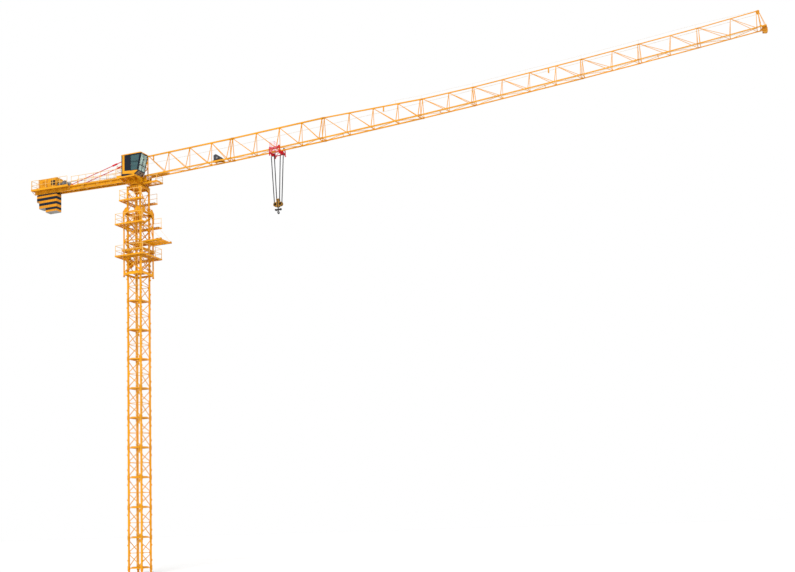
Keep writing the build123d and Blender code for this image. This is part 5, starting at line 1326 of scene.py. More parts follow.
def sloped_grating(p, x0, x1, y0, y1, top, h=0.03, pitch=0.08, cross=0.31, t=0.011, along="x"):
    nb = max(2, int(round((y1 - y0) / pitch)))
    for i in range(nb + 1):
        y = lerp(y0 + t / 2, y1 - t / 2, i / nb)
        p.slab(x0, x1, y - t / 2, y + t / 2, lambda x: cz(x) + top - h, lambda x: cz(x) + top, 1)
    nc = max(1, int(round((x1 - x0) / cross)))
    for i in range(nc + 1):
        x = lerp(x0 + t, x1 - t, i / nc)
        p.slab(x - t / 2, x + t / 2, y0, y1, lambda v: cz(v) + top - h * 0.7, lambda v: cz(v) + top - 0.004, 1)


for s in (-1, 1):
    y0, y1 = sorted((s * 0.52, s * 0.49))
    p.slab(DECK_X1, -1.10, y0, y1, lambda x: cz(x) + CJ_H, lambda x: cz(x) + DT)
    y0, y1 = sorted((s * 0.52, s * 0.508))
    p.slab(DECK_X1, -1.10, y0, y1, lambda x: cz(x) + DT, lambda x: cz(x) + DT + 0.10)
    y0, y1 = sorted((s * DECK_Y, s * (DECK_Y - 0.05)))
    p.slab(DECK_X0, DECK_X1, y0, y1, lambda x: cz(x) + CJ_H - 0.06, lambda x: cz(x) + DT)
    y0, y1 = sorted((s * DECK_Y, s * (DECK_Y - 0.012)))
    p.slab(DECK_X0, DECK_X1, y0, y1, lambda x: cz(x) + DT, lambda x: cz(x) + DT + 0.11)
    for k in range(6):
        x = DECK_X1 - 0.06 - k * 0.94
        y0, y1 = sorted((s * (CJ_Y + 0.002), s * (DECK_Y - 0.02)))
        v = [(xx, yy, cz(xx) + zz) for zz, yy0 in ((0, 0), (1, 1)) for yy in (y0, y1) for xx in (x - 0.03, x + 0.03)]
        p.slab(x - 0.03, x + 0.03, y0, y1, lambda q: cz(q) + CJ_H - 0.055, lambda q: cz(q) + CJ_H - 0.002, 0)
        # knee brace from the beam's foot to the deck's edge
        p.bar((x, s * (CJ_Y + 0.004), cz(x) + 0.06), (x, s * (DECK_Y - 0.06), cz(x) + CJ_H - 0.05), 0.04, 0.03, mat=2)
for x in (DECK_X0, DECK_X1 - 0.05):
    p.slab(x, x + 0.05, -DECK_Y + 0.05, DECK_Y - 0.05, lambda q: cz(q) + CJ_H, lambda q: cz(q) + DT, 0)
p.slab(DECK_X0, DECK_X0 + 0.012, -DECK_Y + 0.05, DECK_Y - 0.05, lambda q: cz(q) + DT, lambda q: cz(q) + DT + 0.11, 0)
sloped_grating(p, DECK_X1, -1.10, -0.49, 0.49, DT, h=0.024, pitch=0.11, cross=0.45)
# pressed floor sheets under the bars, in the darker yellow that paints their shade
for k in range(4):
    xa_, xb_ = lerp(DECK_X1, -1.10, k / 4) + 0.006, lerp(DECK_X1, -1.10, (k + 1) / 4) - 0.006
    p.slab(xa_, xb_, -0.488, 0.488, lambda x: cz(x) + CJ_H + 0.001, lambda x: cz(x) + CJ_H + 0.006, 2)
for k in range(5):
    xa_, xb_ = lerp(DECK_X0 + 0.06, DECK_X1 - 0.06, k / 5) + 0.006, lerp(DECK_X0 + 0.06, DECK_X1 - 0.06, (k + 1) / 5) - 0.006
    p.slab(xa_, xb_, -DECK_Y + 0.055, DECK_Y - 0.055, lambda x: cz(x) + CJ_H + 0.001, lambda x: cz(x) + CJ_H + 0.006, 2)
sloped_grating(p, DECK_X0 + 0.05, DECK_X1 - 0.05, -DECK_Y + 0.05, DECK_Y - 0.05, DT, h=0.024, pitch=0.11, cross=0.45)
p.done(replaces=["counter_jib_deck"])

p = Piece("counter_jib_fittings", TOP, m_yellow, m_yellow_shade, m_yellow, m_yellow_pale, m_lamp, m_dark)
for s in (-1, 1):
    ym = s * (CJ_Y - 0.06)
    x = -1.4
    while x > CJ_END + 0.1:
        # web stiffeners on both sides
        for q in (-0.037, 0.037):
            p.slab(x - 0.006, x + 0.006, min(ym + q - 0.022, ym + q + 0.022), max(ym + q - 0.022, ym + q + 0.022), lambda v: cz(v) + 0.03, lambda v: cz(v) + CJ_H - 0.03, 2)
        x -= 1.24
    # bracket loops under the walkway's edge
    for x in (-8.42, -6.62, -4.75, -3.0, -1.27):
        p.pipe([(x - 0.10, s * 0.505, cz(x) + CJ_H + 0.02), (x - 0.10, s * 0.56, cz(x) + CJ_H - 0.02), (x - 0.08, s * 0.56, cz(x) + 0.16), (x + 0.08, s * 0.56, cz(x) + 0.16),
                (x + 0.10, s * 0.56, cz(x) + CJ_H - 0.02), (x + 0.10, s * 0.505, cz(x) + CJ_H + 0.02)], 0.030, 8, 3)
    # splice plates at mid length
    for q in (-0.068, 0.068):
        p.slab(-7.05, -6.55, min(ym + q - 0.006, ym + q + 0.006), max(ym + q - 0.006, ym + q + 0.006), lambda v: cz(v) + 0.05, lambda v: cz(v) + CJ_H - 0.05, 2)
    for a in (-6.98, -6.88, -6.72, -6.62):
        for b in (0.10, 0.18, 0.26):
            p.bolt((a, ym + s * 0.074, cz(a) + b), "y", 0.036, 0.018, 1, s)
# diagonals between the beams
for x0, x1, q in ((-1.4, -2.8, 1), (-3.0, -4.6, -1), (-4.8, -6.4, 1), (-6.6, -8.2, -1), (-8.4, -9.8, 1)):
    p.bar((x0, q * 0.34, cz(x0) + 0.14), (x1, -q * 0.34, cz(x1) + 0.14), 0.05, 0.03, mat=2)
# power cable inside the near beam
p.pipe([(x, -CJ_Y + 0.16, cz(x) + 0.20 - (0.02 if j % 2 else 0.0)) for j, x in enumerate([-1.2 - 0.5 * j for j in range(16)])], 0.03, 6, 5)
# clamps and feet of the handrails
r_feet = [(-1.5 - 0.95 * k, q * 0.50) for k in range(8) for q in (-1, 1)] + [(-8.4 - 0.94 * k, q * (DECK_Y - 0.03)) for k in range(6) for q in (-1, 1)]
for x, y in r_feet:
    z = cz(x) + DT
    p.box(x - 0.03, x + 0.03, y - 0.024, y + 0.024, z + 0.004, z + 0.016, 0)
    p.box(x - 0.024, x + 0.024, y - 0.024, y + 0.024, z + 0.53, z + 0.565, 3)
    p.bolt((x - 0.022, y, z + 0.016), "z", 0.02, 0.01, 1)
    p.bolt((x + 0.022, y, z + 0.016), "z", 0.02, 0.01, 1)
p.done()

# ties: turnbuckles, forks and pins
p = Piece("tie_rod_fittings", TOP, m_red, m_red, m_red)
TXE = -8.20
TZE = cz(TXE) + DT
for s in (-1, 1):
    a, b = Vector((HX0 - 0.14, s * HY, HEAD_TOP)), Vector((TXE, s * HY, TZE + 0.16))
    # sleeve along the bar
    p.rod(a.lerp(b, 0.030), a.lerp(b, 0.972), 0.074, 12, 0)
    for t in (0.215, 0.295, 0.55, 0.575):
        q0, q1 = a.lerp(b, t - 0.006), a.lerp(b, t + 0.006)
        p.rod(q0, q1, 0.095, 12, 0)
    for q in (-0.05, 0.05):
        p.bar(a.lerp(b, 0.005) + Vector((0, q, 0)), a.lerp(b, 0.035) + Vector((0, q, 0)), 0.014, 0.12, mat=0)
        p.bar(a.lerp(b, 0.215) + Vector((0, q, 0)), a.lerp(b, 0.295) + Vector((0, q, 0)), 0.014, 0.13, mat=0)
        p.bar(a.lerp(b, 0.975) + Vector((0, q * 0.7, 0)), a.lerp(b, 1.0) + Vector((0, q * 0.7, 0)), 0.012, 0.11, mat=0)
    p.cyl((TXE, s * HY, TZE + 0.16), 0.028, 0.12, "y", 12, 1, 0.004)
    for t in (0.235, 0.255, 0.275):
        c = a.lerp(b, t)
        p.bolt((c[0], c[1] - 0.05, c[2]), "y", 0.04, 0.02, 2, -1)
        p.bolt((c[0], c[1] + 0.05, c[2]), "y", 0.04, 0.02, 2, 1)
    p.box(TXE - 0.14, TXE + 0.14, s * HY - 0.06, s * HY + 0.06, TZE + 0.002, TZE + 0.020, 2)
p.done()

# ---------------------------------------------------------------------------
# hoist winch, its drum and the housing
# ---------------------------------------------------------------------------
def dz(x):
    return cz(x) + DT


p = Piece("hoist_winch_built", TOP, m_winch, m_steel, m_bolt, m_grey_light, m_hose)
for s in (-1, 1):
    y = s * 0.47
    p.slab(-10.05, -8.62, y - 0.035, y + 0.035, lambda x: dz(x) + 0.002, lambda x: dz(x) + 0.014)
    p.slab(-10.05, -8.62, y - 0.008, y + 0.008, lambda x: dz(x) + 0.014, lambda x: dz(x) + 0.088)
    p.slab(-10.05, -8.62, y - 0.035, y + 0.035, lambda x: dz(x) + 0.088, lambda x: dz(x) + 0.10)
    # bearing pedestal, a ribbed trapezoid with a cap
    p.plate([(-0.30, 0.10), (0.30, 0.10), (0.13, 0.44), (0.09, 0.53), (-0.09, 0.53), (-0.13, 0.44)], (WX, y, dz(WX)), (1, 0, 0), UP, 0.04, 0)
    p.lathe((WX, y, WZ), [(0.072, -0.045), (0.135, -0.045), (0.135, 0.045), (0.072, 0.045)], "y", 24, 0, False, True)
    for q in (-0.22, 0.22):
        p.bolt((WX + q, y, dz(WX + q) + 0.10), "z", 0.045, 0.025, 2)
    for q in (-0.16, 0.16):
        p.bar((WX + q, y + s * 0.026, dz(WX) + 0.11), (WX + q * 0.45, y + s * 0.026, dz(WX) + 0.42), 0.014, 0.03, up=(0, 1, 0))
for x in (-9.72, -8.72):
    p.slab(x, x + 0.10, -0.435, 0.435, lambda v: dz(v) + 0.02, lambda v: dz(v) + 0.09)
# gear case: bevelled casting with ribs and a split line
gx0, gx1, gy0, gy1, gz1 = -10.0, -9.55, -0.45, 0.0, WZ + 0.14
p.hexa([(x, y, z) for z, e in ((dz(-9.8) + 0.06, 0.0), (gz1, 0.045)) for y in (gy0 + e, gy1 - e) for x in (gx0 + e, gx1 - e)])
for q in range(5):
    y = gy0 + 0.06 + 0.08 * q
    p.box(gx1 - 0.03, gx1 + 0.008, y - 0.008, y + 0.008, dz(-9.6) + 0.10, gz1 - 0.06)
p.box(gx0 - 0.015, gx1 + 0.015, gy0 - 0.015, gy1 + 0.015, WZ - 0.03, WZ, 0)
for x in (gx0 - 0.002, gx1 - 0.012):
    for y in (gy0 + 0.02, gy0 + 0.16, gy0 + 0.30, gy1 - 0.02):
        p.bolt((x + 0.008, y, WZ), "z", 0.03, 0.016, 2)
p.cyl((-9.62, -0.30, gz1 + 0.02), 0.03, 0.05, "z", 10, 1)
# motor: finned shell, fan cowl, terminal box
mz = WZ - 0.10
p.cyl((-9.78, 0.22, mz), 0.135, 0.42, "y", 24, 3)
for q in range(14):
    a = 2 * math.pi * q / 14
    c, s_ = math.cos(a), math.sin(a)
    p.bar((-9.78 + 0.15 * c, 0.04, mz + 0.15 * s_), (-9.78 + 0.15 * c, 0.36, mz + 0.15 * s_), 0.008, 0.038, up=(c, 0, s_), mat=3)
p.lathe((-9.78, 0.40, mz), [(0.155, -0.04), (0.168, -0.03), (0.168, 0.02), (0.14, 0.045), (0.05, 0.05)], "y", 24, 3)
p.lathe((-9.78, 0.025, mz), [(0.16, -0.02), (0.172, -0.015), (0.172, 0.01), (0.135, 0.02)], "y", 24, 3)
p.box(-9.87, -9.69, 0.14, 0.30, mz + 0.13, mz + 0.22, 0)
p.box(-9.90, -9.66, 0.06, 0.34, dz(-9.78) + 0.02, mz - 0.12, 0)
p.pipe([(-9.78, 0.30, mz + 0.17), (-9.78, 0.40, mz + 0.19), (-9.86, 0.43, mz + 0.02), (-10.0, 0.42, dz(-10) + 0.03), (-10.13, 0.30, dz(-10) + 0.02)], 0.028, 8, 4)
# brake disc between motor and gear case
p.lathe((-9.52, -0.22, WZ - 0.02), [(0.03, -0.012), (0.135, -0.012), (0.135, 0.012), (0.03, 0.012)], "x", 24, 1, False)
p.done(replaces=["hoist_winch"])

p = Piece("hoist_drum_wound", DRUM, m_winch, m_rope_wound, m_steel, m_bolt)
prof = []
n = 22
for i in range(n):
    y = -0.365 + 0.73 * i / n
    w = 0.73 / n
    prof += [(0.278, y + 0.0005), (0.290, y + w * 0.22), (0.2955, y + w * 0.5), (0.290, y + w * 0.78)]
prof.append((0.278, 0.365))
p.lathe((WX, 0, WZ), prof, "y", 40, 1)
for s in (-1, 1):
    y = s * 0.395
    p.lathe((WX, y, WZ), [(0.10, -s * 0.025), (0.345, -s * 0.025), (0.36, -s * 0.018), (0.36, s * 0.018), (0.345, s * 0.025), (0.325, s * 0.025), (0.318, s * 0.012), (0.14, s * 0.012), (0.13, s * 0.025), (0.10, s * 0.025)], "y", 40, 0)
    for q in range(6):
        a = math.pi / 3 * q + 0.2
        p.bar((WX + 0.13 * math.cos(a), y + s * 0.018, WZ + 0.13 * math.sin(a)), (WX + 0.32 * math.cos(a), y + s * 0.018, WZ + 0.32 * math.sin(a)), 0.016, 0.012, up=(0, 1, 0))
        p.bolt((WX + 0.22 * math.cos(a + 0.5), y + s * 0.012, WZ + 0.22 * math.sin(a + 0.5)), "y", 0.034, 0.016, 3, s)
    p.cyl((WX, s * 0.47, WZ), 0.064, 0.10, "y", 20, 2, 0.006)
    p.box(WX - 0.012, WX + 0.012, min(s * 0.505, s * 0.51), max(s * 0.505, s * 0.51), WZ + 0.02, WZ + 0.05, 3)
# rope clamp on one cheek
p.box(WX - 0.05, WX + 0.05, 0.405, 0.42, WZ + 0.27, WZ + 0.31, 2)
p.done(replaces=["hoist_drum"])

hx0, hx1, hy0, hy1, htop = -12.45, -10.14, -0.45, 0.60, 41.52
p = Piece("winch_housing_fittings", TOP, m_yellow, m_shadow_fill, m_yellow_shade, m_steel, m_dark)
y = hy0 - 0.004
# louvred openings in the near wall, door leaves, frames and hinges; the plate behind each louvre's slats paints the
# shade inside, near-black in one and darker yellow in the other
for x0, x1, z0, z1, back, slat in ((-11.98, -11.40, 40.80, 41.28, 2, 0), (-10.84, -10.26, 40.72, 41.26, 1, 4)):
    p.box(x0, x1, y - 0.002, y + 0.003, z0, z1, back)
    for i in range(7):
        z = lerp(z0 + 0.03, z1 - 0.03, i / 6)
        p.hexa([(x, yy + oy, zz) for zz, oy in ((z - 0.022, -0.016), (z + 0.010, 0.0)) for yy in (y - 0.004, y + 0.004) for x in (x0 + 0.01, x1 - 0.01)], slat)
    for a, b in (((x0, z0), (x1, z0)), ((x1, z0), (x1, z1)), ((x1, z1), (x0, z1)), ((x0, z1), (x0, z0))):
        p.bar((a[0], y - 0.006, a[1]), (b[0], y - 0.006, b[1]), 0.03, 0.022, up=(0, 1, 0))
for x in (-12.40, -11.32, -10.20):
    p.bar((x, y - 0.004, 40.38), (x, y - 0.004, 41.48), 0.025, 0.014, up=(0, 1, 0), mat=2)
for x in (-12.38, -11.30):
    for z in (40.55, 41.30):
        p.cyl((x + 0.02, y - 0.012, z), 0.018, 0.10, "z", 10, 3)
for x in (-11.42, -10.30):
    p.box(x, x + 0.025, y - 0.035, y - 0.01, 40.60, 40.74, 3)
# rear and drum-side walls: panel seams and a cable gland plate
p.box(hx1 + 0.001, hx1 + 0.008, hy0 + 0.06, hy0 + 0.075, 40.30, 41.46, 2)
p.box(hx1 + 0.001, hx1 + 0.010, 0.05, 0.42, 40.50, 40.86, 2)
for q in (0.12, 0.22, 0.32):
    p.cyl((hx1 + 0.02, q, 40.62), 0.025, 0.03, "x", 10, 4)
# near-black strips on the drum-side and rear walls paint the shadow in louvre gaps
for i in range(5):
    z = 40.75 + 0.09 * i
    p.box(hx1 + 0.001, hx1 + 0.012, -0.30, -0.02, z, z + 0.035, 1)
for i in range(6):
    z = 40.80 + 0.09 * i
    p.box(hx0 - 0.010, hx0 - 0.001, -0.25, 0.35, z, z + 0.035, 1)
for x in (-12.1, -11.0):
    p.bar((x, hy1 + 0.006, 40.38), (x, hy1 + 0.006, 41.48), 0.025, 0.012, up=(0, 1, 0), mat=2)
# roof: overhanging lip, ribs and lifting eyes
p.box(hx0 - 0.03, hx1 + 0.03, hy0 - 0.03, hy1 + 0.03, htop - 0.03, htop + 0.004, 0)
for i in range(7):
    x = lerp(hx0 + 0.12, hx1 - 0.12, i / 6)
    p.profile((x, hy0, htop + 0.004), (x, hy1, htop + 0.004), [(-0.03, 0.0), (0.03, 0.0), (0.018, 0.012), (-0.018, 0.012)], mat=0)
for x in (hx0 + 0.2, hx1 - 0.2):
    for q in (hy0 + 0.12, hy1 - 0.12):
        pts = [(x + 0.04 * math.cos(a), q, htop + 0.035 + 0.035 * math.sin(a)) for a in [math.pi * 2 * j / 12 for j in range(12)]]
        p.pipe(pts, 0.014, 6, 3, True)
p.done()

# ---------------------------------------------------------------------------
# striped counterweights
# ---------------------------------------------------------------------------
p = Piece("counterweights_striped", TOP, m_navy, m_stripe, m_concrete, m_steel)
bands = [(39.84, 39.73, 0), (39.73, 39.50, 1), (39.50, 39.20, 0), (39.20, 38.94, 1), (38.94, 38.65, 0), (38.65, 38.36, 1), (38.36, 38.10, 0), (38.10, 37.86, 1)]
for k, zb_ in enumerate(CW_BOTTOMS):
    x0 = CW_X0 + k * CW_PITCH
    x1 = x0 + CW_PITCH - 0.004
    c = 0.022
    for zt_, zl, mt in bands:
        zl = max(zl, zb_ + 0.03)
        if zl >= zt_:
            continue
        o = [(x0 + c, -CW_Y), (x1 - c, -CW_Y), (x1, -CW_Y + c), (x1, CW_Y - c), (x1 - c, CW_Y), (x0 + c, CW_Y), (x0, CW_Y - c), (x0, -CW_Y + c)]
        v = [(x, y, zl) for x, y in o] + [(x, y, zt_) for x, y in o]
        p.add(v, [(i, (i + 1) % 8, 8 + (i + 1) % 8, 8 + i) for i in range(8)] + [tuple(range(7, -1, -1)), tuple(range(8, 16))], mt)
    o = [(x0 + c, -CW_Y), (x1 - c, -CW_Y), (x1, -CW_Y + c), (x1, CW_Y - c), (x1 - c, CW_Y), (x0 + c, CW_Y), (x0, CW_Y - c), (x0, -CW_Y + c)]
    xm = (x0 + x1) / 2
    v = [(xm + (x - xm) * 0.86, y * 0.965, zb_) for x, y in o] + [(x, y, zb_ + 0.03) for x, y in o]
    p.add(v, [(i, (i + 1) % 8, 8 + (i + 1) % 8, 8 + i) for i in range(8)] + [tuple(range(7, -1, -1)), tuple(range(8, 16))], 2)
    for s in (-1, 1):
        # hanging straps to the beams
        p.box(xm - 0.03, xm + 0.03, min(s * 0.30, s * 0.33), max(s * 0.30, s * 0.33), CW_TOP - 0.01, CW_TOP + 0.09, 3)
p.done(replaces=["counterweights"])

# ---------------------------------------------------------------------------
# trolley
# ---------------------------------------------------------------------------
YO = CHORD_Y + CHORD / 2
TC = (TROLLEY_X, 0, TB)
TT = (TC, SLOPE)
X = TROLLEY_X
TL = 0.60
p = Piece("trolley_frame_built", TROLLEY, m_red, m_bolt, m_dark, m_steel)
for s in (-1, 1):
    ya, yb = sorted((s * (YO + 0.065), s * (YO + 0.135)))
    ym = (ya + yb) / 2
    # top rail of each side, a channel with wheel bosses
    p.box(X - TL, X + TL, ym - 0.006, ym + 0.006, TB - 0.02, TB + 0.12)
    for z in (-0.02, 0.106):
        p.box(X - TL, X + TL, ya, yb, TB + z, TB + z + 0.014)
    p.box(X - TL, X + TL, ya, yb, TB - 0.40, TB - 0.33)
    for x in (-TL, TL - 0.08):
        p.box(X + x, X + x + 0.08, ym - 0.008, ym + 0.008, TB - 0.64, TB - 0.02)
        for q in (0.0, 0.066):
            p.box(X + x + q, X + x + q + 0.014, ya, yb, TB - 0.64, TB - 0.02)
        p.box(X + x, X + x + 0.08, ya, yb, TB - 0.64, TB - 0.60)
    # diagonal braces in each side frame
    p.bar((X - TL + 0.08, ym, TB - 0.36), (X - 0.05, ym, TB - 0.02), 0.04, 0.04)
    p.bar((X + TL - 0.08, ym, TB - 0.36), (X + 0.05, ym, TB - 0.02), 0.04, 0.04)
    p.bar((X - TL + 0.07, ym, TB - 0.55), (X - TL + 0.22, ym, TB - 0.40), 0.035, 0.035)
    p.bar((X + TL - 0.07, ym, TB - 0.55), (X + TL - 0.22, ym, TB - 0.40), 0.035, 0.035)
    for x in (-0.50, 0.50):
        p.cyl((X + x, s * (YO + 0.10), TB + CHORD / 2 + 0.103), 0.07, 0.075, "y", 18, 0, 0.008)
        p.bolt((X + x, s * (YO + 0.138), TB + CHORD / 2 + 0.103), "y", 0.05, 0.022, 1, s)
        p.plate([(-0.11, -0.08), (0.11, -0.08), (0.06, 0.10), (-0.06, 0.10)], (X + x, ym, TB + 0.12), (1, 0, 0), UP, 0.02, 0)
        # side guide roller against the chord's outer face
        p.cyl((X + x * 0.55, s * (YO + 0.035), TB - 0.01), 0.026, 0.07, "z", 12, 3, 0.004)
    # foot wedges
    for x in (-TL, TL - 0.08):
        p.plate([(0.0, 0.0), (0.16, 0.0), (0.05, -0.055), (0.0, -0.055)], (X + x - 0.02, ym, TB - 0.60), (1, 0, 0), UP, 0.05, 0)
for x in (-TL, TL - 0.08):
    for z0, z1 in ((-0.40, -0.32),):
        p.box(X + x, X + x + 0.08, -YO - 0.1, YO + 0.1, TB + z0, TB + z0 + 0.012)
        p.box(X + x, X + x + 0.08, -YO - 0.1, YO + 0.1, TB + z1 - 0.012, TB + z1)
        p.box(X + x + 0.033, X + x + 0.047, -YO - 0.1, YO + 0.1, TB + z0 + 0.012, TB + z1 - 0.012)
    p.bar((X + x + 0.04, -YO - 0.08, TB - 0.58), (X + x + 0.04, -YO + 0.12, TB - 0.38), 0.03, 0.03)
    p.bar((X + x + 0.04, YO + 0.08, TB - 0.58), (X + x + 0.04, YO - 0.12, TB - 0.38), 0.03, 0.03)
for x in (-0.495, 0.495):
    # sheave housings: cheeks, axle, grooved sheaves, rope keepers
    for y in (-0.075, 0.075):
        p.plate([(-0.19, 0.10), (-0.10, 0.14), (0.10, 0.14), (0.19, 0.10), (0.19, -0.05), (0.08, -0.13), (-0.08, -0.13), (-0.19, -0.05)], (X + x, y, TB - 0.43), (1, 0, 0), UP, 0.016, 0)
    for y in (0.0,):
        p.lathe((X + x, y, TB - 0.43), [(0.03, -0.038), (0.07, -0.038), (0.075, -0.012), (0.14, -0.012), (0.155, -0.036), (0.165, -0.036), (0.14, -0.004), (0.14, 0.004), (0.165, 0.036), (0.155, 0.036), (0.14, 0.012), (0.075, 0.012), (0.07, 0.038), (0.03, 0.038)], "y", 26, 2, False)
    p.cyl((X + x, 0, TB - 0.43), 0.03, 0.22, "y", 14, 3, 0.003)
    p.box(X + x - 0.02, X + x + 0.02, -YO - 0.1, -0.087, TB - 0.46, TB - 0.40, 0)
    p.box(X + x - 0.02, X + x + 0.02, 0.087, YO + 0.1, TB - 0.46, TB - 0.40, 0)
    p.box(X + x - 0.02, X + x + 0.02, -YO - 0.1, YO + 0.1, TB - 0.325, TB - 0.29, 0)
    for s in (-1, 1):
        p.bolt((X + x, s * 0.087, TB - 0.43), "y", 0.05, 0.025, 1, s)
        p.rod((X + x + s * 0.165, -0.07, TB - 0.33), (X + x + s * 0.165, 0.07, TB - 0.33), 0.02, 8, 3)
    for q in (-1, 1):
        p.rod((X + x + q * 0.165, 0, TB - 0.58), (X + x + q * 0.150, 0, TB - 0.43), 0.06, 8, 2)
# rope anchorage brackets at both ends
for x in (-TL - 0.0, TL - 0.02):
    p.box(X + x, X + x + 0.02, -0.14, 0.14, TB - 0.34, TB - 0.20, 0)
    p.bolt((X + x + (0.02 if x > 0 else 0.0), -0.09, TB - 0.26), "x", 0.04, 0.02, 1, 1 if x > 0 else -1)
    p.bolt((X + x + (0.02 if x > 0 else 0.0), 0.09, TB - 0.26), "x", 0.04, 0.02, 1, 1 if x > 0 else -1)
p.done(replaces=["trolley_frame"], turn=TT)

p = Piece("trolley_wheels_turned", TROLLEY, m_dark, m_steel, m_bolt)
for s in (-1, 1):
    for x in (-0.50, 0.50):
        c = (X + x, s * (YO + 0.005), TB + CHORD / 2 + 0.103)
        p.lathe(c, [(0.02, -s * 0.045), (0.055, -s * 0.045), (0.07, -s * 0.03), (0.080, -s * 0.045), (0.082, s * 0.030), (0.085, s * 0.034), (0.085, s * 0.045), (0.03, s * 0.045)], "y", 28, 0)
        p.lathe(c, [(0.0825, -s * 0.040), (0.0828, s * 0.028)], "y", 28, 1)
        p.cyl((c[0], c[1] - s * 0.05, c[2]), 0.02, 0.014, "y", 12, 2)
p.done(replaces=["trolley_wheels"], turn=TT)

p = Piece("trolley_basket_mesh", TROLLEY, m_red_pale, m_grate_shade, m_red)
K0, K1 = YO + 0.64, YO + 0.145
KX0, KX1, KZ0, KZ1 = -0.24, 0.31, -0.50, 0.46
p.box(X + KX0, X + KX1, -K0, -K0 + 0.03, TB + KZ0, TB + KZ0 + 0.04)
p.box(X + KX0, X + KX1, -K1 - 0.03, -K1, TB + KZ0, TB + KZ0 + 0.04)
p.box(X + KX0, X + KX1, -K1 - 0.03, -K1 + 0.006, TB - 0.02, TB + 0.05)
for x in (KX0, KX1 - 0.03):
    p.box(X + x, X + x + 0.03, -K0 + 0.03, -K1 - 0.03, TB + KZ0, TB + KZ0 + 0.035)
for i in range(7):
    y = lerp(-K0 + 0.06, -K1 - 0.06, i / 6)
    p.box(X + KX0 + 0.03, X + KX1 - 0.03, y - 0.005, y + 0.005, TB + KZ0 + 0.010, TB + KZ0 + 0.034, 1)
for i in range(3):
    x = -0.12 + 0.15 * i
    p.box(X + x - 0.005, X + x + 0.005, -K0 + 0.03, -K1 - 0.03, TB + KZ0 + 0.014, TB + KZ0 + 0.030, 1)
for x in (KX0 + 0.015, KX1 - 0.015):
    for y in (-K0 + 0.015, -K1 - 0.015):
        p.rod((X + x, y, TB + KZ0 + 0.02), (X + x, y, TB + KZ1 - 0.01), 0.028, 8)
loop = [(X + KX0 + 0.015, -K1 - 0.015), (X + KX0 + 0.015, -K0 + 0.015), (X + KX1 - 0.015, -K0 + 0.015), (X + KX1 - 0.015, -K1 - 0.015)]
for z, d in ((-0.25, 0.014), (-0.005, 0.018), (0.22, 0.014), (0.445, 0.026)):
    p.pipe([(x, y, TB + z) for x, y in loop], d, 8)
for i in range(5):
    x = lerp(KX0 + 0.09, KX1 - 0.09, i / 4)
    p.rod((X + x, -K0 + 0.015, TB + KZ0 + 0.02), (X + x, -K0 + 0.015, TB + 0.44), 0.009, 5)
for y in (-K0 + 0.14, -K0 + 0.25, -K0 + 0.36):
    for x in (KX0 + 0.015, KX1 - 0.015):
        p.rod((X + x, y, TB + KZ0 + 0.02), (X + x, y, TB + 0.44), 0.009, 5)
for x in (KX0 + 0.04, KX1 - 0.04):
    p.bar((X + x, -K1 + 0.010, TB - 0.40), (X + x, -K1 + 0.010, TB + 0.04), 0.03, 0.016, mat=2)
p.done(replaces=["trolley_basket"], turn=TT)

# ---------------------------------------------------------------------------
# hook block, ropes and hook
# ---------------------------------------------------------------------------
HX = HOOK_X
p = Piece("hook_block_plates", BLOCK, m_block, m_black, m_black)
cheek = [(-0.12, 0.50), (0.12, 0.50), (0.17, 0.44), (0.17, 0.36), (0.12, 0.25), (0.20, 0.18), (0.32, 0.17), (0.44, 0.11), (0.49, 0.00), (0.49, -0.10), (0.43, -0.21), (0.30, -0.26), (0.20, -0.24), (0.13, -0.34),
         (-0.13, -0.34), (-0.20, -0.24), (-0.30, -0.26), (-0.43, -0.21), (-0.49, -0.10), (-0.49, 0.00), (-0.44, 0.11), (-0.32, 0.17), (-0.20, 0.18), (-0.12, 0.25), (-0.17, 0.36), (-0.17, 0.44)]
cheek = cheek[::-1]
LOBES = ((-0.27, -0.04), (0.27, -0.04))
for y in (-0.10, 0.10):
    p.plate(cheek, (HX, y, HB), (1, 0, 0), UP, 0.034)
for s in (-1, 1):
    y = s * 0.117
    for a, b in LOBES:
        # raised rings and axle ends of the two sheaves
        p.lathe((HX + a, y, HB + b), [(0.135, 0.0), (0.135, s * 0.012), (0.165, s * 0.012), (0.172, 0.0)], "y", 24, 0, False)
        p.cyl((HX + a, y + s * 0.010, HB + b), 0.055, 0.03, "y", 18, 1, 0.005)
        p.bolt((HX + a, y + s * 0.025, HB + b), "y", 0.07, 0.018, 2, s)
        for q in range(4):
            t = math.pi / 4 + math.pi / 2 * q
            p.bolt((HX + a + 0.112 * math.cos(t), y, HB + b + 0.112 * math.sin(t)), "y", 0.035, 0.014, 1, s)
    # dark spine between the lobes down to the crosshead
    p.plate([(-0.035, -0.33), (0.035, -0.33), (0.045, 0.10), (0.03, 0.34), (-0.03, 0.34), (-0.045, 0.10)], (HX, y + s * 0.006, HB), (1, 0, 0), UP, 0.014, 1)
    p.cyl((HX, y + s * 0.008, HB + 0.40), 0.05, 0.026, "y", 18, 1, 0.005)
    for a, b in ((-0.135, 0.42), (0.135, 0.42), (-0.42, 0.08), (0.42, 0.08), (-0.40, -0.18), (0.40, -0.18)):
        p.bolt((HX + a, y, HB + b), "y", 0.055, 0.022, 1, s)
# spacers between the cheeks and the head's pin
for a, b in ((-0.135, 0.42), (0.135, 0.42), (-0.40, -0.18), (0.40, -0.18)):
    p.rod((HX + a, -0.10, HB + b), (HX + a, 0.10, HB + b), 0.03, 8, 1)
p.plate([(-0.08, 0.38), (0.08, 0.38), (0.07, 0.48), (-0.07, 0.48)], (HX, 0, HB), (1, 0, 0), UP, 0.19, 0)
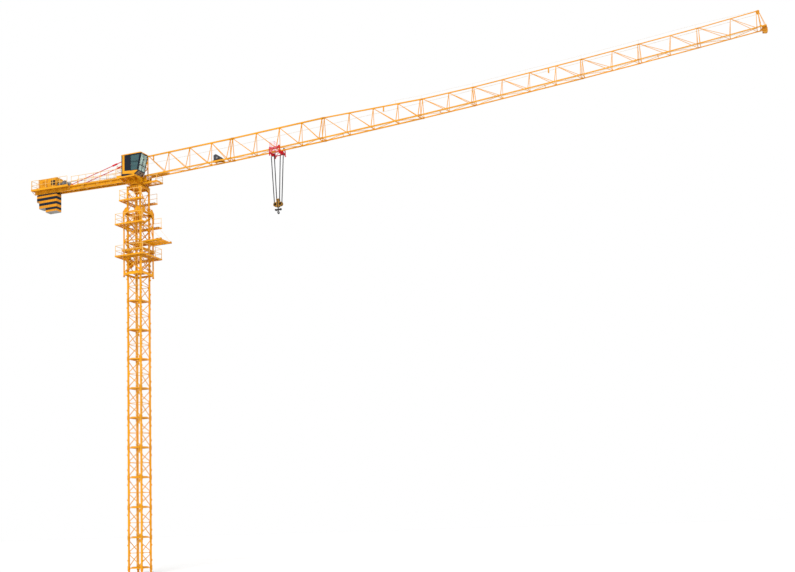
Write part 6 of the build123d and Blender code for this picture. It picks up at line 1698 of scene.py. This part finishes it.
# crosshead trunnion with the hook's thrust bearing
p.plate([(-0.13, -0.345), (0.13, -0.345), (0.15, -0.30), (0.10, -0.225), (-0.10, -0.225), (-0.15, -0.30)], (HX, 0, HB), (1, 0, 0), UP, 0.20, 2)
for s in (-1, 1):
    p.cyl((HX, s * 0.12, HB - 0.28), 0.05, 0.045, "y", 18, 2, 0.006)
p.lathe((HX, 0, HB - 0.345), [(0.03, -0.012), (0.095, -0.012), (0.10, 0.0), (0.095, 0.01), (0.03, 0.01)], "z", 24, 1)
p.done(replaces=["hook_block"])

p = Piece("hook_sheaves_grooved", BLOCK, m_dark, m_steel, m_bolt)
for a, b in ((-0.27, 0.0), (0.27, 0.0)):
    c = (HX + a, 0, HB + b)
    p.lathe(c, [(0.03, -0.06), (0.06, -0.06), (0.065, -0.020), (0.090, -0.020), (0.098, -0.045), (0.104, -0.045), (0.092, -0.006), (0.092, 0.006), (0.104, 0.045), (0.098, 0.045), (0.090, 0.020), (0.065, 0.020), (0.06, 0.06), (0.03, 0.06)], "y", 32, 0, False)
    p.cyl(c, 0.035, 0.16, "y", 16, 1, 0.003)
    for q in range(6):
        t = math.pi / 3 * q
        p.bolt((c[0] + 0.048 * math.cos(t), 0.06, c[2] + 0.048 * math.sin(t)), "y", 0.016, 0.006, 2, 1)
p.done(replaces=["hook_sheaves"])

# four falls; the mesh has end rings only, so a stretch along it stays even
p = Piece("hoist_ropes_taut", TROLLEY, m_rope)
ZR0, ZR1 = TB - 0.58, HB
for x0, x1 in ((-0.66, -0.405), (-0.33, -0.135), (0.33, 0.135), (0.66, 0.405)):
    n = 10
    v = []
    for cx, z in ((HX + x0, ZR0), (HX + x1, ZR1)):
        v += [(cx + ROPE_D / 2 * math.cos(2 * math.pi * i / n), ROPE_D / 2 * math.sin(2 * math.pi * i / n), z) for i in range(n)]
    p.add(v, [(i, (i + 1) % n, n + (i + 1) % n, n + i)[::-1] for i in range(n)] + [tuple(range(n)), tuple(range(2 * n - 1, n - 1, -1))], 0, True)
p.done(replaces=["hoist_ropes"], blend=(TROLLEY, BLOCK, (HX * S, 0, (ZR0 + BASE) * S), (HX * S, 0, (ZR1 + BASE) * S)))


def swept(p, path, radii, n=16, mat=0, flat=1.0):
    """A forged round section along a path in the XZ plane; flat squeezes it across."""
    k = len(path)
    v = []
    for i in range(k):
        a, b = Vector(path[max(i - 1, 0)]), Vector(path[min(i + 1, k - 1)])
        t = (b - a).normalized()
        side = Vector((0, 1, 0))
        nn = side.cross(t)
        c = Vector(path[i])
        for j in range(n):
            g = 2 * math.pi * j / n
            v.append(c + nn * (radii[i] * math.cos(g)) + side * (radii[i] * flat * math.sin(g)))
    f = [(i * n + j, i * n + (j + 1) % n, (i + 1) * n + (j + 1) % n, (i + 1) * n + j) for i in range(k - 1) for j in range(n)]
    p.add(v, f, mat, True)
    o = len(p.v) - len(v)
    for ids in (tuple(range(n - 1, -1, -1)), tuple((k - 1) * n + i for i in range(n))):
        p.f.append(tuple(i + o for i in ids))
        p.m.append(mat)
        p.smooth.append(False)


p = Piece("hook_forged", HOOK, m_black, m_steel, m_bolt, m_yellow_shade)
p.lathe((HX, 0, HB), [(0.05, -0.345), (0.05, -0.40), (0.055, -0.42), (0.055, -0.47), (0.085, -0.48), (0.11, -0.50), (0.11, -0.58), (0.09, -0.60), (0.055, -0.62), (0.055, -0.66)], "z", 28, 0)
for i in range(5):
    p.lathe((HX, 0, HB - 0.36 - 0.022 * i), [(0.050, -0.008), (0.056, 0.0), (0.050, 0.008)], "z", 24, 1)
# crossbar with heavy ends below the swivel
p.plate([(-0.35, -0.49), (-0.18, -0.49), (-0.12, -0.535), (0.12, -0.535), (0.18, -0.49), (0.35, -0.49), (0.35, -0.61), (0.28, -0.67), (0.18, -0.67), (0.12, -0.635),
         (-0.12, -0.635), (-0.18, -0.67), (-0.28, -0.67), (-0.35, -0.61)][::-1], (HX, 0, HB), (1, 0, 0), UP, 0.13, 0)
for s in (-1, 1):
    for y in (-0.065, 0.065):
        p.plate([(-0.065, -0.075), (0.065, -0.075), (0.065, 0.065), (-0.065, 0.065)], (HX + s * 0.26, y, HB - 0.575), (1, 0, 0), UP, 0.014, 0)
        p.bolt((HX + s * 0.26, y * 1.1, HB - 0.575), "y", 0.06, 0.010, 0, 1 if y > 0 else -1)
k0 = len(p.v)
path, rad = [], []
ctl = [(0.0, -0.62, 0.052), (0.0, -0.69, 0.055), (0.045, -0.735, 0.058), (0.110, -0.765, 0.062), (0.150, -0.815, 0.068), (0.158, -0.865, 0.072), (0.125, -0.915, 0.074), (0.065, -0.945, 0.072),
       (-0.005, -0.955, 0.066), (-0.085, -0.940, 0.058), (-0.150, -0.905, 0.048), (-0.190, -0.860, 0.036), (-0.210, -0.815, 0.024), (-0.218, -0.795, 0.012)]
for a, b, r in ctl:
    path.append((HX + a, 0.0, HB + b))
    rad.append(r)
swept(p, path, rad, 16, 0, 0.80)
# spring latch from the shank to the point
p.plate([(-0.02, 0.02), (-0.155, -0.115), (-0.145, -0.135), (0.0, -0.015)], (HX - 0.03, 0, HB - 0.685), (1, 0, 0), UP, 0.05, 1)
p.cyl((HX - 0.04, 0, HB - 0.69), 0.02, 0.085, "y", 12, 2, 0.002)
# the hook itself lies across the jib
p.v[k0:] = [Vector((HX - v[1], v[0] - HX, v[2])) for v in p.v[k0:]]
p.done(replaces=["hook"])
